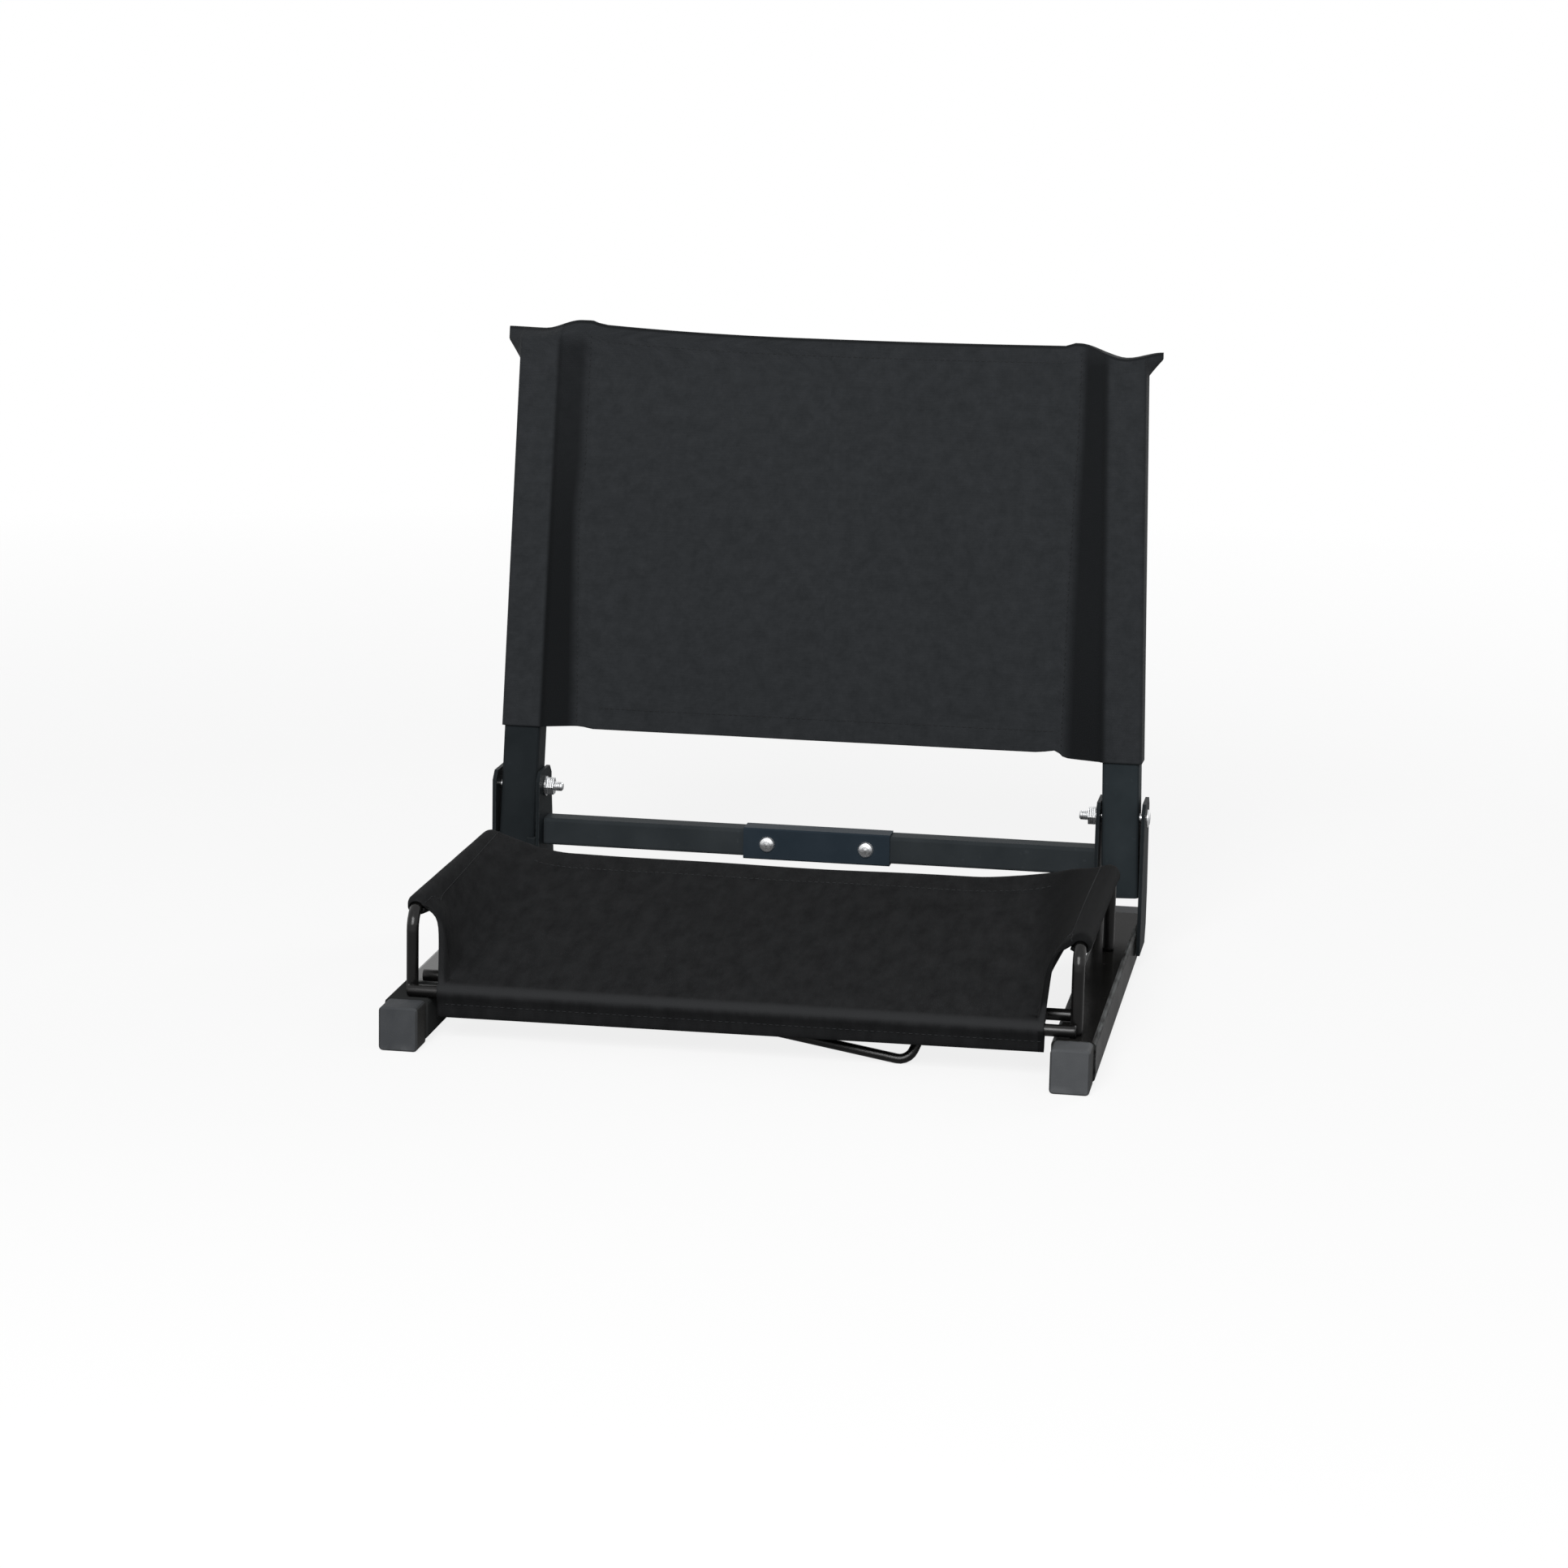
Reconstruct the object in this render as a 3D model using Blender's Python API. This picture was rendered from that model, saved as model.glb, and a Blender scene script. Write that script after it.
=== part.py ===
"""Folding stadium chair with a sling seat and a sling back, on two floor rails.

Metres, +Z up. +X is the right-hand side seen from the front, +Y points to the back of the chair.
Sizes along Y are measured from the bolts that the back folds on, and PIVOT_Y sets them in the frame.
"""
import math

import bmesh
import bpy
from mathutils import Matrix, Vector

for old in list(bpy.data.objects):
    bpy.data.objects.remove(old, do_unlink=True)

# Fits shared by all pieces
FIT_GAP = 0.0003          # between pieces that touch or are welded
BOLT_CLEARANCE = 0.00035  # round a bolt, on the radius
ROUND_SIDES = 24

# Square steel tube of the uprights
TUBE = 0.0254
TUBE_WALL = 0.0016
TUBE_CORNER = 0.0028
SIDE_SPACING = 0.423      # between the centre planes of the two sides

# Floor rails and the rubber feet in their ends
RAIL_WIDTH = 0.0280
RAIL_HEIGHT = 0.0254
RAIL_FRONT = 0.3202       # from the pivot bolts to the rail's front end
RAIL_REAR = 0.0322        # from the pivot bolts to the rail's rear end
RAIL_CLEARANCE = 0.0032   # under the rail
FOOT_WIDTH = 0.0250
FOOT_DEPTH = 0.0215
FOOT_HEIGHT = 0.0284
FOOT_CORNER = 0.0026
FOOT_ROUND = 0.0012
FOOT_PLUG = 0.0170

# Pivot plates, bolts and stops
PIVOT_HEIGHT = 0.1034
PLATE_THICK = 0.0025
PLATE_FRONT = 0.0190
PLATE_BACK_TOP = 0.0200
PLATE_BACK_FOOT = 0.0290
PLATE_CROWN = 0.0122      # above the bolt
PLATE_CHAMFER = 0.0060
PLATE_HEM = 0.0105        # lower edge above the ground
PLATE_SHOULDER = 0.0460   # height at which the rear edge starts to lean in
PIVOT_BOLT = 0.00635
PIVOT_HEAD = 0.0125
PIVOT_HEAD_HEIGHT = 0.0022
PIVOT_NUT_FLATS = 0.0111
PIVOT_NUT_HEIGHT = 0.0050
PIVOT_TAIL = 0.0062       # thread past the nut
WASHER_WIDTH = 0.0140
WASHER_THICK = 0.0010
STOP_BELOW = 0.0400       # from the bolt down to the middle of the stop
STOP_HEIGHT = 0.0110
STOP_DEPTH = 0.0040
STOP_BITE = 0.0045        # how far a stop reaches in front of the upright

# Uprights
UPRIGHT_ABOVE = 0.3105
UPRIGHT_CLEAR = 0.0203    # between an upright's lower end and the rail
RECLINE = math.radians(3.0)
LEAN = math.radians(1.7)  # the sling draws the uprights together towards the top
CAP_FLANGE = 0.0016
CAP_PLUG = 0.0140

# Rear crossbar with its splice
BAR = 0.01905
BAR_WALL = 0.0015
BAR_CORNER = 0.0022
BAR_BACK = 0.0040         # centre of the bar behind the bolts
BAR_HEIGHT = 0.0717
SPLICE_LENGTH = 0.1030
SPLICE_THICK = 0.0012
SPLICE_FLANGE = 0.0160
SPLICE_BOLT = 0.00635
SPLICE_BOLT_SPACING = 0.0695
SPLICE_HEAD = 0.0112
SPLICE_HEAD_HEIGHT = 0.0030
SPLICE_NUT_FLATS = 0.0111
SPLICE_NUT_HEIGHT = 0.0050
SPLICE_TAIL = 0.0020

# Seat frame of round bar
ROD = 0.0079375
ROD_BEND = 0.0140
HOOP_FRONT = 0.3050       # front legs ahead of the bolts
HOOP_REAR = 0.0815        # rear legs ahead of the bolts
HOOP_HEIGHT = 0.0836      # centre of the side bars above the ground

# Bleacher hook and the rod it swings on
HOOK_ROD_AHEAD = 0.2740
ROD_OVERHANG = 0.0005      # of both cross rods past the sides' centre planes
HOOK_WIRE = 0.0064
HOOK_EYE_CLEARANCE = 0.0005
HOOK_REACH = 0.0365       # from the rod to the wire's corner before it is rounded
HOOK_LEFT = -0.0300
HOOK_CORNER = 0.1060
HOOK_RIGHT = 0.1200
HOOK_LEFT_DROP = 0.0150
HOOK_BEND = 0.0095
HOOK_EYE_TURN = math.radians(285)
HOOK_GROUND_GAP = 0.0002

# Slings
CLOTH = 0.0012
CLOTH_EASE = 0.0005       # between cloth and the bar or tube inside it
BACK_HEM = 0.0420         # lower edge of the back sling above the bolts
BACK_TOP_EASE = 0.0065
BACK_SEAM_INSET = 0.0405  # seam of each tunnel from the side's centre plane
BACK_SEAM_RISE = 0.0045   # the top edge peaks at the seams
BACK_TOP_DIP = 0.0030     # and dips in the middle
EAR_OUT = 0.0120
EAR_HEIGHT = 0.0175
SLEEVE_EASE = 0.0010      # between the side bars and the seat's sleeves
SLEEVE_TURN = math.radians(30)  # how far the sleeves follow the rear bends of the side bars
SEAT_REAR = 0.1050        # rear edge of the seat ahead of the bolts
SEAT_REAR_HEIGHT = 0.0795
SEAT_LAST_ROW = 0.2940    # where the seat leaves the sleeves, ahead of the bolts
SEAT_SAG_REAR = 0.0010
SEAT_SAG_FRONT = 0.0003
FOLD_REAR_INSET = 0.0395  # folds beside the sleeves from the sides' centre planes
FOLD_FRONT_INSET = 0.0230
FOLD_SOFTNESS = 0.35
HEM_INSET = 0.0190        # ends of the hem from the sides' centre planes
HEM_BOTTOM = 0.0180       # above the ground
HEM_RETURN = 0.0019       # turned-in cloth under the seat

# Places that follow from the sizes above
SIDE = SIDE_SPACING / 2
PIVOT_Y = (RAIL_FRONT - RAIL_REAR) / 2
RAIL_MIDDLE = RAIL_CLEARANCE + RAIL_HEIGHT / 2
RAIL_TOP = RAIL_CLEARANCE + RAIL_HEIGHT
ROD_ON_RAIL = RAIL_TOP + FIT_GAP + ROD / 2
FRONT_ROD_AHEAD = HOOP_FRONT + ROD + FIT_GAP
BACK_SEAM = SIDE - BACK_SEAM_INSET
FOLD_REAR = SIDE - FOLD_REAR_INSET
FOLD_FRONT = SIDE - FOLD_FRONT_INSET
HEM_HALF = SIDE - HEM_INSET
PLATE_INNER = RAIL_WIDTH / 2 + FIT_GAP          # from the side's centre plane
PLATE_OUTER = PLATE_INNER + PLATE_THICK
UPRIGHT_BELOW = PIVOT_HEIGHT - RAIL_TOP - UPRIGHT_CLEAR
# Keeps a leaning upright between its plates
UPRIGHT_INSET = (UPRIGHT_BELOW - PLATE_CROWN) / 2 * math.tan(LEAN)


def place(x, y, z):
    """A point with its Y measured from the pivot bolts."""
    return Vector((x, PIVOT_Y + y, z))


def finish(name, colour, roughness, metallic):
    """A Principled material with the piece's own colour and gloss."""
    made = bpy.data.materials.new(name)
    made.use_nodes = True
    shader = made.node_tree.nodes["Principled BSDF"]
    shader.inputs["Base Color"].default_value = (*colour, 1.0)
    shader.inputs["Roughness"].default_value = roughness
    shader.inputs["Metallic"].default_value = metallic
    made.diffuse_color = (*colour, 1.0)
    return made


BLACK_PAINT = finish("black_paint", (0.017, 0.020, 0.023), 0.28, 0.0)
BLACK_WIRE = finish("black_wire", (0.012, 0.012, 0.013), 0.25, 0.0)
ZINC = finish("zinc_plate", (0.62, 0.63, 0.65), 0.32, 1.0)
GREY_RUBBER = finish("grey_rubber", (0.060, 0.062, 0.066), 0.75, 0.0)
BLACK_PLASTIC = finish("black_plastic", (0.020, 0.020, 0.022), 0.50, 0.0)
BLACK_CLOTH = finish("black_cloth", (0.026, 0.028, 0.029), 0.90, 0.0)


def add(name, bm, material, parent=None):
    """Close the mesh's normals, shade it and put it in the scene as one named object."""
    bmesh.ops.recalc_face_normals(bm, faces=bm.faces)
    mesh = bpy.data.meshes.new(name)
    bm.to_mesh(mesh)
    bm.free()
    mesh.materials.append(material)
    mesh.shade_smooth()
    mesh.set_sharp_from_angle(angle=math.radians(35))
    piece = bpy.data.objects.new(name, mesh)
    bpy.context.scene.collection.objects.link(piece)
    piece.parent = parent
    return piece


def pivot_empty(name, location, rotation=(0.0, 0.0, 0.0), parent=None):
    """An empty on a joint's axis, which the pieces that move are parented to."""
    empty = bpy.data.objects.new(name, None)
    empty.empty_display_size = 0.02
    empty.location = location
    empty.rotation_euler = rotation
    empty.parent = parent
    bpy.context.scene.collection.objects.link(empty)
    return empty


def cut(piece, cutter_mesh, location, rotation=(0.0, 0.0, 0.0)):
    """Cut a closed mesh out of a piece with a Boolean modifier."""
    cutter = add(piece.name + "_cutter", cutter_mesh, piece.data.materials[0])
    cutter.location = location
    cutter.rotation_euler = rotation
    cutter.hide_render = True
    cutter.display_type = "WIRE"
    boolean = piece.modifiers.new("cut", "BOOLEAN")
    boolean.operation = "DIFFERENCE"
    boolean.solver = "EXACT"
    boolean.object = cutter
    return cutter


def turned(profile, sides=ROUND_SIDES):
    """Turn a profile of (radius, height) pairs, from top to bottom, about Z."""
    bm = bmesh.new()
    rings = []
    for radius, height in profile:
        if radius == 0.0:
            rings.append([bm.verts.new((0.0, 0.0, height))])
            continue
        angles = [2 * math.pi * k / sides for k in range(sides)]
        rings.append([bm.verts.new((radius * math.cos(a), radius * math.sin(a), height)) for a in angles])
    for upper, lower in zip(rings, rings[1:]):
        for k in range(sides):
            corners = [upper[k % len(upper)], upper[(k + 1) % len(upper)],
                       lower[(k + 1) % len(lower)], lower[k % len(lower)]]
            bm.faces.new(list(dict.fromkeys(corners)))
    return bm


def cylinder(radius, low, high, sides=ROUND_SIDES):
    return turned([(0.0, high), (radius, high), (radius, low), (0.0, low)], sides)


def ring(outer, bore, low, high, sides=ROUND_SIDES):
    """A flat washer about Z."""
    bm = bmesh.new()
    loops = []
    for radius, height in ((outer, low), (outer, high), (bore, high), (bore, low)):
        angles = [2 * math.pi * k / sides for k in range(sides)]
        loops.append([bm.verts.new((radius * math.cos(a), radius * math.sin(a), height)) for a in angles])
    for one, two in zip(loops, loops[1:] + loops[:1]):
        for k in range(sides):
            n = (k + 1) % sides
            bm.faces.new((one[k], one[n], two[n], two[k]))
    return bm


def rounded_rectangle(width, height, corner, steps=3):
    """Corners of a rectangle with round edges, anticlockwise."""
    points = []
    for quarter, (sx, sy) in enumerate(((1, 1), (-1, 1), (-1, -1), (1, -1))):
        for k in range(steps + 1):
            angle = math.pi / 2 * (quarter + k / steps)
            points.append((sx * (width / 2 - corner) + corner * math.cos(angle),
                           sy * (height / 2 - corner) + corner * math.sin(angle)))
    return points


def skin(loops, closed=False):
    """Join loops of equal length into one surface, closed on itself or capped at both ends."""
    bm = bmesh.new()
    rows = [[bm.verts.new(point) for point in loop] for loop in loops]
    count = len(rows[0])
    for one, two in zip(rows, rows[1:] + rows[:1] if closed else rows[1:]):
        for k in range(count):
            n = (k + 1) % count
            bm.faces.new((one[k], one[n], two[n], two[k]))
    if not closed:
        bm.faces.new(list(reversed(rows[0])))
        bm.faces.new(rows[-1])
    return bm


def box_tube(width, height, wall, corner, low, high):
    """A rectangular tube about Z, open at both ends."""
    outer = rounded_rectangle(width, height, corner)
    inner = rounded_rectangle(width - 2 * wall, height - 2 * wall, max(corner - wall, 0.0004))
    return skin([[(x, y, z) for x, y in outline]
                 for outline, z in ((outer, low), (outer, high), (inner, high), (inner, low))], closed=True)


def block(low, high, bevel=0.0, steps=2):
    """A box between two corners, with its edges rounded."""
    bm = bmesh.new()
    size = Vector(high) - Vector(low)
    middle = (Vector(high) + Vector(low)) / 2
    bmesh.ops.create_cube(bm, size=1.0, matrix=Matrix.Translation(middle) @ Matrix.Diagonal((*size, 1.0)))
    if bevel:
        bmesh.ops.bevel(bm, geom=bm.edges[:], offset=bevel, segments=steps, profile=0.5, affect="EDGES")
    return bm


def slab(outline, low, high):
    """An outline in the (Y, Z) plane, extruded along X."""
    bm = bmesh.new()
    near = [bm.verts.new((low, y, z)) for y, z in outline]
    far = [bm.verts.new((high, y, z)) for y, z in outline]
    bm.faces.new(near)
    bm.faces.new(list(reversed(far)))
    for k in range(len(outline)):
        n = (k + 1) % len(outline)
        bm.faces.new((near[k], far[k], far[n], near[n]))
    return bm


def nut(flats, bore, low, high):
    """A hexagon nut about Z with a plain bore."""
    bm = bmesh.new()
    sides = ROUND_SIDES
    rows = []
    for height in (low, high):
        bore_row = []
        hexagon_row = []
        for k in range(sides):
            angle = 2 * math.pi * k / sides
            to_flat = (angle + math.pi / 6) % (math.pi / 3) - math.pi / 6
            reach = flats / 2 / math.cos(to_flat)
            hexagon_row.append(bm.verts.new((reach * math.cos(angle), reach * math.sin(angle), height)))
            bore_row.append(bm.verts.new((bore * math.cos(angle), bore * math.sin(angle), height)))
        rows.append((hexagon_row, bore_row))
    (hex_low, bore_low), (hex_high, bore_high) = rows
    for one, two in ((hex_low, hex_high), (hex_high, bore_high), (bore_high, bore_low), (bore_low, hex_low)):
        for k in range(sides):
            n = (k + 1) % sides
            bm.faces.new((one[k], one[n], two[n], two[k]))
    return bm


def round_corners(points, radius, steps=5):
    """Replace each inner corner of a path by an arc of the bend radius."""
    path = [Vector(points[0])]
    for before, corner, after in zip(points, points[1:], points[2:]):
        corner = Vector(corner)
        back = (Vector(before) - corner).normalized()
        on = (Vector(after) - corner).normalized()
        half = back.angle(on) / 2
        reach = radius / math.tan(half)
        centre = corner + (back + on).normalized() * radius / math.sin(half)
        start = corner + back * reach - centre
        end = corner + on * reach - centre
        sweep = start.angle(end)
        for k in range(steps + 1):
            part = k / steps
            swung = (start * math.sin((1 - part) * sweep) + end * math.sin(part * sweep)) / math.sin(sweep)
            path.append(centre + swung)
    path.append(Vector(points[-1]))
    return path


def round_bar(path, diameter, sides=12):
    """A round bar swept along a path, with flat ends."""
    bm = bmesh.new()
    tangents = []
    for k, point in enumerate(path):
        before = path[max(k - 1, 0)]
        after = path[min(k + 1, len(path) - 1)]
        tangents.append((after - before).normalized())
    seed = Vector((0.0, 0.0, 1.0)) if abs(tangents[0].z) < 0.9 else Vector((1.0, 0.0, 0.0))
    across = tangents[0].cross(seed).normalized()
    rings = []
    for k, point in enumerate(path):
        if k:
            across = tangents[k - 1].rotation_difference(tangents[k]) @ across
        up = tangents[k].cross(across)
        angles = [2 * math.pi * n / sides for n in range(sides)]
        rings.append([bm.verts.new(point + (across * math.cos(a) + up * math.sin(a)) * diameter / 2)
                      for a in angles])
    for one, two in zip(rings, rings[1:]):
        for k in range(sides):
            n = (k + 1) % sides
            bm.faces.new((one[k], one[n], two[n], two[k]))
    bm.faces.new(list(reversed(rings[0])))
    bm.faces.new(rings[-1])
    return bm


ALONG_X = (0.0, math.pi / 2, 0.0)      # turns a piece made about Z to lie along +X
ALONG_Y = (-math.pi / 2, 0.0, 0.0)     # turns a piece made about Z to lie along +Y
SIDES = (("left", -1), ("right", 1))


def floor_rail(side, sign):
    tube = box_tube(RAIL_WIDTH, RAIL_HEIGHT, TUBE_WALL, TUBE_CORNER, -RAIL_FRONT, RAIL_REAR)
    rail = add("base_rail_" + side, tube, BLACK_PAINT)
    rail.rotation_euler = ALONG_Y
    rail.location = place(sign * SIDE, 0.0, RAIL_MIDDLE)


def rubber_foot(end, side, sign):
    """A block on a rail's end that carries it off the ground, with a plug inside the rail."""
    outward = -1 if end == "front" else 1
    rail_end = RAIL_FRONT if end == "front" else RAIL_REAR
    middle = FOOT_HEIGHT / 2
    bore = TUBE_WALL + FIT_GAP

    def loop(width, tall, corner, centre, reach):
        return [(x, outward * reach, centre + z) for x, z in rounded_rectangle(width, tall, corner)]

    face = rail_end + FIT_GAP
    tip = face + FOOT_DEPTH
    small = loop(FOOT_WIDTH - 2 * FOOT_ROUND, FOOT_HEIGHT - 2 * FOOT_ROUND, FOOT_CORNER - FOOT_ROUND, middle, tip)
    plug = (RAIL_WIDTH - 2 * bore, RAIL_HEIGHT - 2 * bore, TUBE_CORNER - TUBE_WALL, RAIL_MIDDLE)
    loops = [small, loop(FOOT_WIDTH, FOOT_HEIGHT, FOOT_CORNER, middle, tip - FOOT_ROUND),
             loop(FOOT_WIDTH, FOOT_HEIGHT, FOOT_CORNER, middle, face), loop(*plug, face),
             loop(*plug, rail_end - FOOT_PLUG)]
    foot = add(end + "_foot_" + side, skin(loops), GREY_RUBBER)
    foot.location = place(sign * SIDE, 0.0, 0.0)


def plate_outline():
    top = PIVOT_HEIGHT + PLATE_CROWN
    toe = PLATE_CHAMFER
    return [(-PLATE_FRONT, PLATE_HEM), (PLATE_BACK_FOOT - toe, PLATE_HEM),
            (PLATE_BACK_FOOT, PLATE_HEM + 2 * toe), (PLATE_BACK_FOOT, PLATE_SHOULDER),
            (PLATE_BACK_TOP, PIVOT_HEIGHT), (PLATE_BACK_TOP, top - toe), (PLATE_BACK_TOP - toe, top),
            (toe - PLATE_FRONT, top), (-PLATE_FRONT, top - toe)]


def pivot_plate(face, side, sign):
    """A pressed plate welded to the rail's inner or outer side, with the hole for the pivot bolt."""
    outward = sign if face == "outer" else -sign
    near = outward * PLATE_INNER
    far = outward * PLATE_OUTER
    sheet = slab(plate_outline(), min(near, far), max(near, far))
    plate = add(f"pivot_plate_{face}_{side}", sheet, BLACK_PAINT)
    plate.location = place(sign * SIDE, 0.0, 0.0)
    hole = cylinder(PIVOT_BOLT / 2 + BOLT_CLEARANCE, -2 * PLATE_OUTER, 2 * PLATE_OUTER)
    cut(plate, hole, place(sign * SIDE, 0.0, PIVOT_HEIGHT), ALONG_X)


def pivot_hardware(side, sign):
    """Bolt with a low head outside, washer and nut inside."""
    axis = place(sign * SIDE, 0.0, PIVOT_HEIGHT)
    facing = (0.0, sign * math.pi / 2, 0.0)
    shank = PIVOT_BOLT / 2
    bore = shank + BOLT_CLEARANCE
    under_head = PLATE_OUTER + FIT_GAP
    washer_face = -(PLATE_OUTER + FIT_GAP)
    nut_face = washer_face - WASHER_THICK - FIT_GAP
    tail = nut_face - PIVOT_NUT_HEIGHT - PIVOT_TAIL
    head = PIVOT_HEAD / 2
    profile = [(0.0, under_head + PIVOT_HEAD_HEIGHT), (head * 0.6, under_head + PIVOT_HEAD_HEIGHT * 0.85),
               (head, under_head + PIVOT_HEAD_HEIGHT * 0.25), (head, under_head), (shank, under_head),
               (shank, tail + shank * 0.3), (shank * 0.7, tail), (0.0, tail)]
    pieces = (("pivot_bolt_", turned(profile), ZINC),
              ("pivot_washer_", ring(WASHER_WIDTH / 2, bore, washer_face - WASHER_THICK, washer_face), ZINC),
              ("pivot_nut_", nut(PIVOT_NUT_FLATS, bore, nut_face - PIVOT_NUT_HEIGHT, nut_face), ZINC))
    for name, mesh, material in pieces:
        piece = add(name + side, mesh, material)
        piece.location = axis
        piece.rotation_euler = facing


def back_stop(side, sign):
    """A tab on the inner plate, in front of the upright's lower end, that stops the back upright."""
    drift = STOP_BELOW * math.tan(LEAN) - UPRIGHT_INSET
    near = -(PLATE_INNER - FIT_GAP)
    reach = -(TUBE / 2 - drift - STOP_BITE)
    depth = -(TUBE / 2 + FIT_GAP)
    low = (min(sign * near, sign * reach), depth - STOP_DEPTH, -STOP_BELOW - STOP_HEIGHT / 2)
    high = (max(sign * near, sign * reach), depth, -STOP_BELOW + STOP_HEIGHT / 2)
    tab = add("back_stop_" + side, block(low, high, STOP_DEPTH / 4), BLACK_PAINT)
    tab.location = place(sign * SIDE, 0.0, PIVOT_HEIGHT)
    tab.rotation_euler = (-RECLINE, 0.0, 0.0)


def upright(side, sign, back):
    """A square tube that turns on its bolt, drawn in at the top by the sling, with a plug in its end."""
    tube = add("upright_" + side, box_tube(TUBE, TUBE, TUBE_WALL, TUBE_CORNER, -UPRIGHT_BELOW, UPRIGHT_ABOVE),
               BLACK_PAINT, back)
    hole = cylinder(PIVOT_BOLT / 2 + BOLT_CLEARANCE, -TUBE, TUBE)
    cut(tube, hole, place(sign * SIDE, 0.0, PIVOT_HEIGHT), ALONG_X)
    flange = rounded_rectangle(TUBE, TUBE, TUBE_CORNER)
    plug_size = TUBE - 2 * (TUBE_WALL + FIT_GAP)
    plug = rounded_rectangle(plug_size, plug_size, TUBE_CORNER - TUBE_WALL)
    seat = UPRIGHT_ABOVE + FIT_GAP
    loops = [[(x, y, z) for x, y in outline] for outline, z in (
        (flange, seat + CAP_FLANGE), (flange, seat), (plug, seat), (plug, UPRIGHT_ABOVE - CAP_PLUG))]
    cap = add("upright_cap_" + side, skin(loops), BLACK_PLASTIC, back)
    for piece in (tube, cap):
        piece.location = (sign * (SIDE - UPRIGHT_INSET), 0.0, 0.0)
        piece.rotation_euler = (0.0, -sign * LEAN, 0.0)


def crossbar(side, sign):
    """One half of the crossbar, welded to the inner plate and ending at the splice."""
    end = SIDE - PLATE_OUTER - FIT_GAP
    low = min(sign * FIT_GAP, sign * end)
    high = max(sign * FIT_GAP, sign * end)
    bar = add("crossbar_" + side, box_tube(BAR, BAR, BAR_WALL, BAR_CORNER, low, high), BLACK_PAINT)
    bar.rotation_euler = ALONG_X
    bar.location = place(0.0, BAR_BACK, BAR_HEIGHT)
    hole = cylinder(SPLICE_BOLT / 2 + BOLT_CLEARANCE, -BAR, BAR)
    cut(bar, hole, place(sign * SPLICE_BOLT_SPACING / 2, BAR_BACK, BAR_HEIGHT), ALONG_Y)


def splice():
    """A pressed channel over the front of the crossbar's joint, held by two bolts."""
    half = BAR / 2 + FIT_GAP
    front = -half - SPLICE_THICK
    back = front + SPLICE_THICK + SPLICE_FLANGE
    outer = half + SPLICE_THICK
    soft = SPLICE_THICK * 0.8
    outline = [(front + soft, -outer), (back, -outer), (back, -half), (-half, -half), (-half, half),
               (back, half), (back, outer), (front + soft, outer), (front, outer - soft), (front, soft - outer)]
    channel = add("crossbar_splice", slab(outline, -SPLICE_LENGTH / 2, SPLICE_LENGTH / 2), BLACK_PAINT)
    channel.location = place(0.0, BAR_BACK, BAR_HEIGHT)
    shank = SPLICE_BOLT / 2
    head = SPLICE_HEAD / 2
    seat = -front + FIT_GAP
    nut_face = -half
    tail = nut_face - SPLICE_NUT_HEIGHT - SPLICE_TAIL
    profile = [(0.0, seat + SPLICE_HEAD_HEIGHT), (head * 0.5, seat + SPLICE_HEAD_HEIGHT * 0.88),
               (head * 0.85, seat + SPLICE_HEAD_HEIGHT * 0.5), (head, seat), (shank, seat),
               (shank, tail + shank * 0.3), (shank * 0.7, tail), (0.0, tail)]
    facing = (math.pi / 2, 0.0, 0.0)
    for side, sign in SIDES:
        axis = place(sign * SPLICE_BOLT_SPACING / 2, BAR_BACK, BAR_HEIGHT)
        cut(channel, cylinder(shank + BOLT_CLEARANCE, -BAR, BAR), axis, facing)
        bolt = add("splice_bolt_" + side, turned(profile), ZINC)
        held = add("splice_nut_" + side, nut(SPLICE_NUT_FLATS, shank + BOLT_CLEARANCE,
                                             nut_face - SPLICE_NUT_HEIGHT, nut_face), ZINC)
        for piece in (bolt, held):
            piece.location = axis
            piece.rotation_euler = facing


def seat_hoop(side, sign):
    """Rear leg, side bar and front leg of one side, bent from one round bar and welded on the rail."""
    x = sign * SIDE
    foot = RAIL_TOP + FIT_GAP
    corners = [place(x, -HOOP_REAR, foot), place(x, -HOOP_REAR, HOOP_HEIGHT),
               place(x, -HOOP_FRONT, HOOP_HEIGHT), place(x, -HOOP_FRONT, foot)]
    add("seat_hoop_" + side, round_bar(round_corners(corners, ROD_BEND, 6), ROD), BLACK_WIRE)


def cross_rod(name, ahead):
    """A straight rod across both rails, welded to their tops."""
    reach = SIDE + ROD_OVERHANG
    ends = [place(-reach, -ahead, ROD_ON_RAIL), place(reach, -ahead, ROD_ON_RAIL)]
    add(name, round_bar(ends, ROD), BLACK_WIRE)


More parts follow.
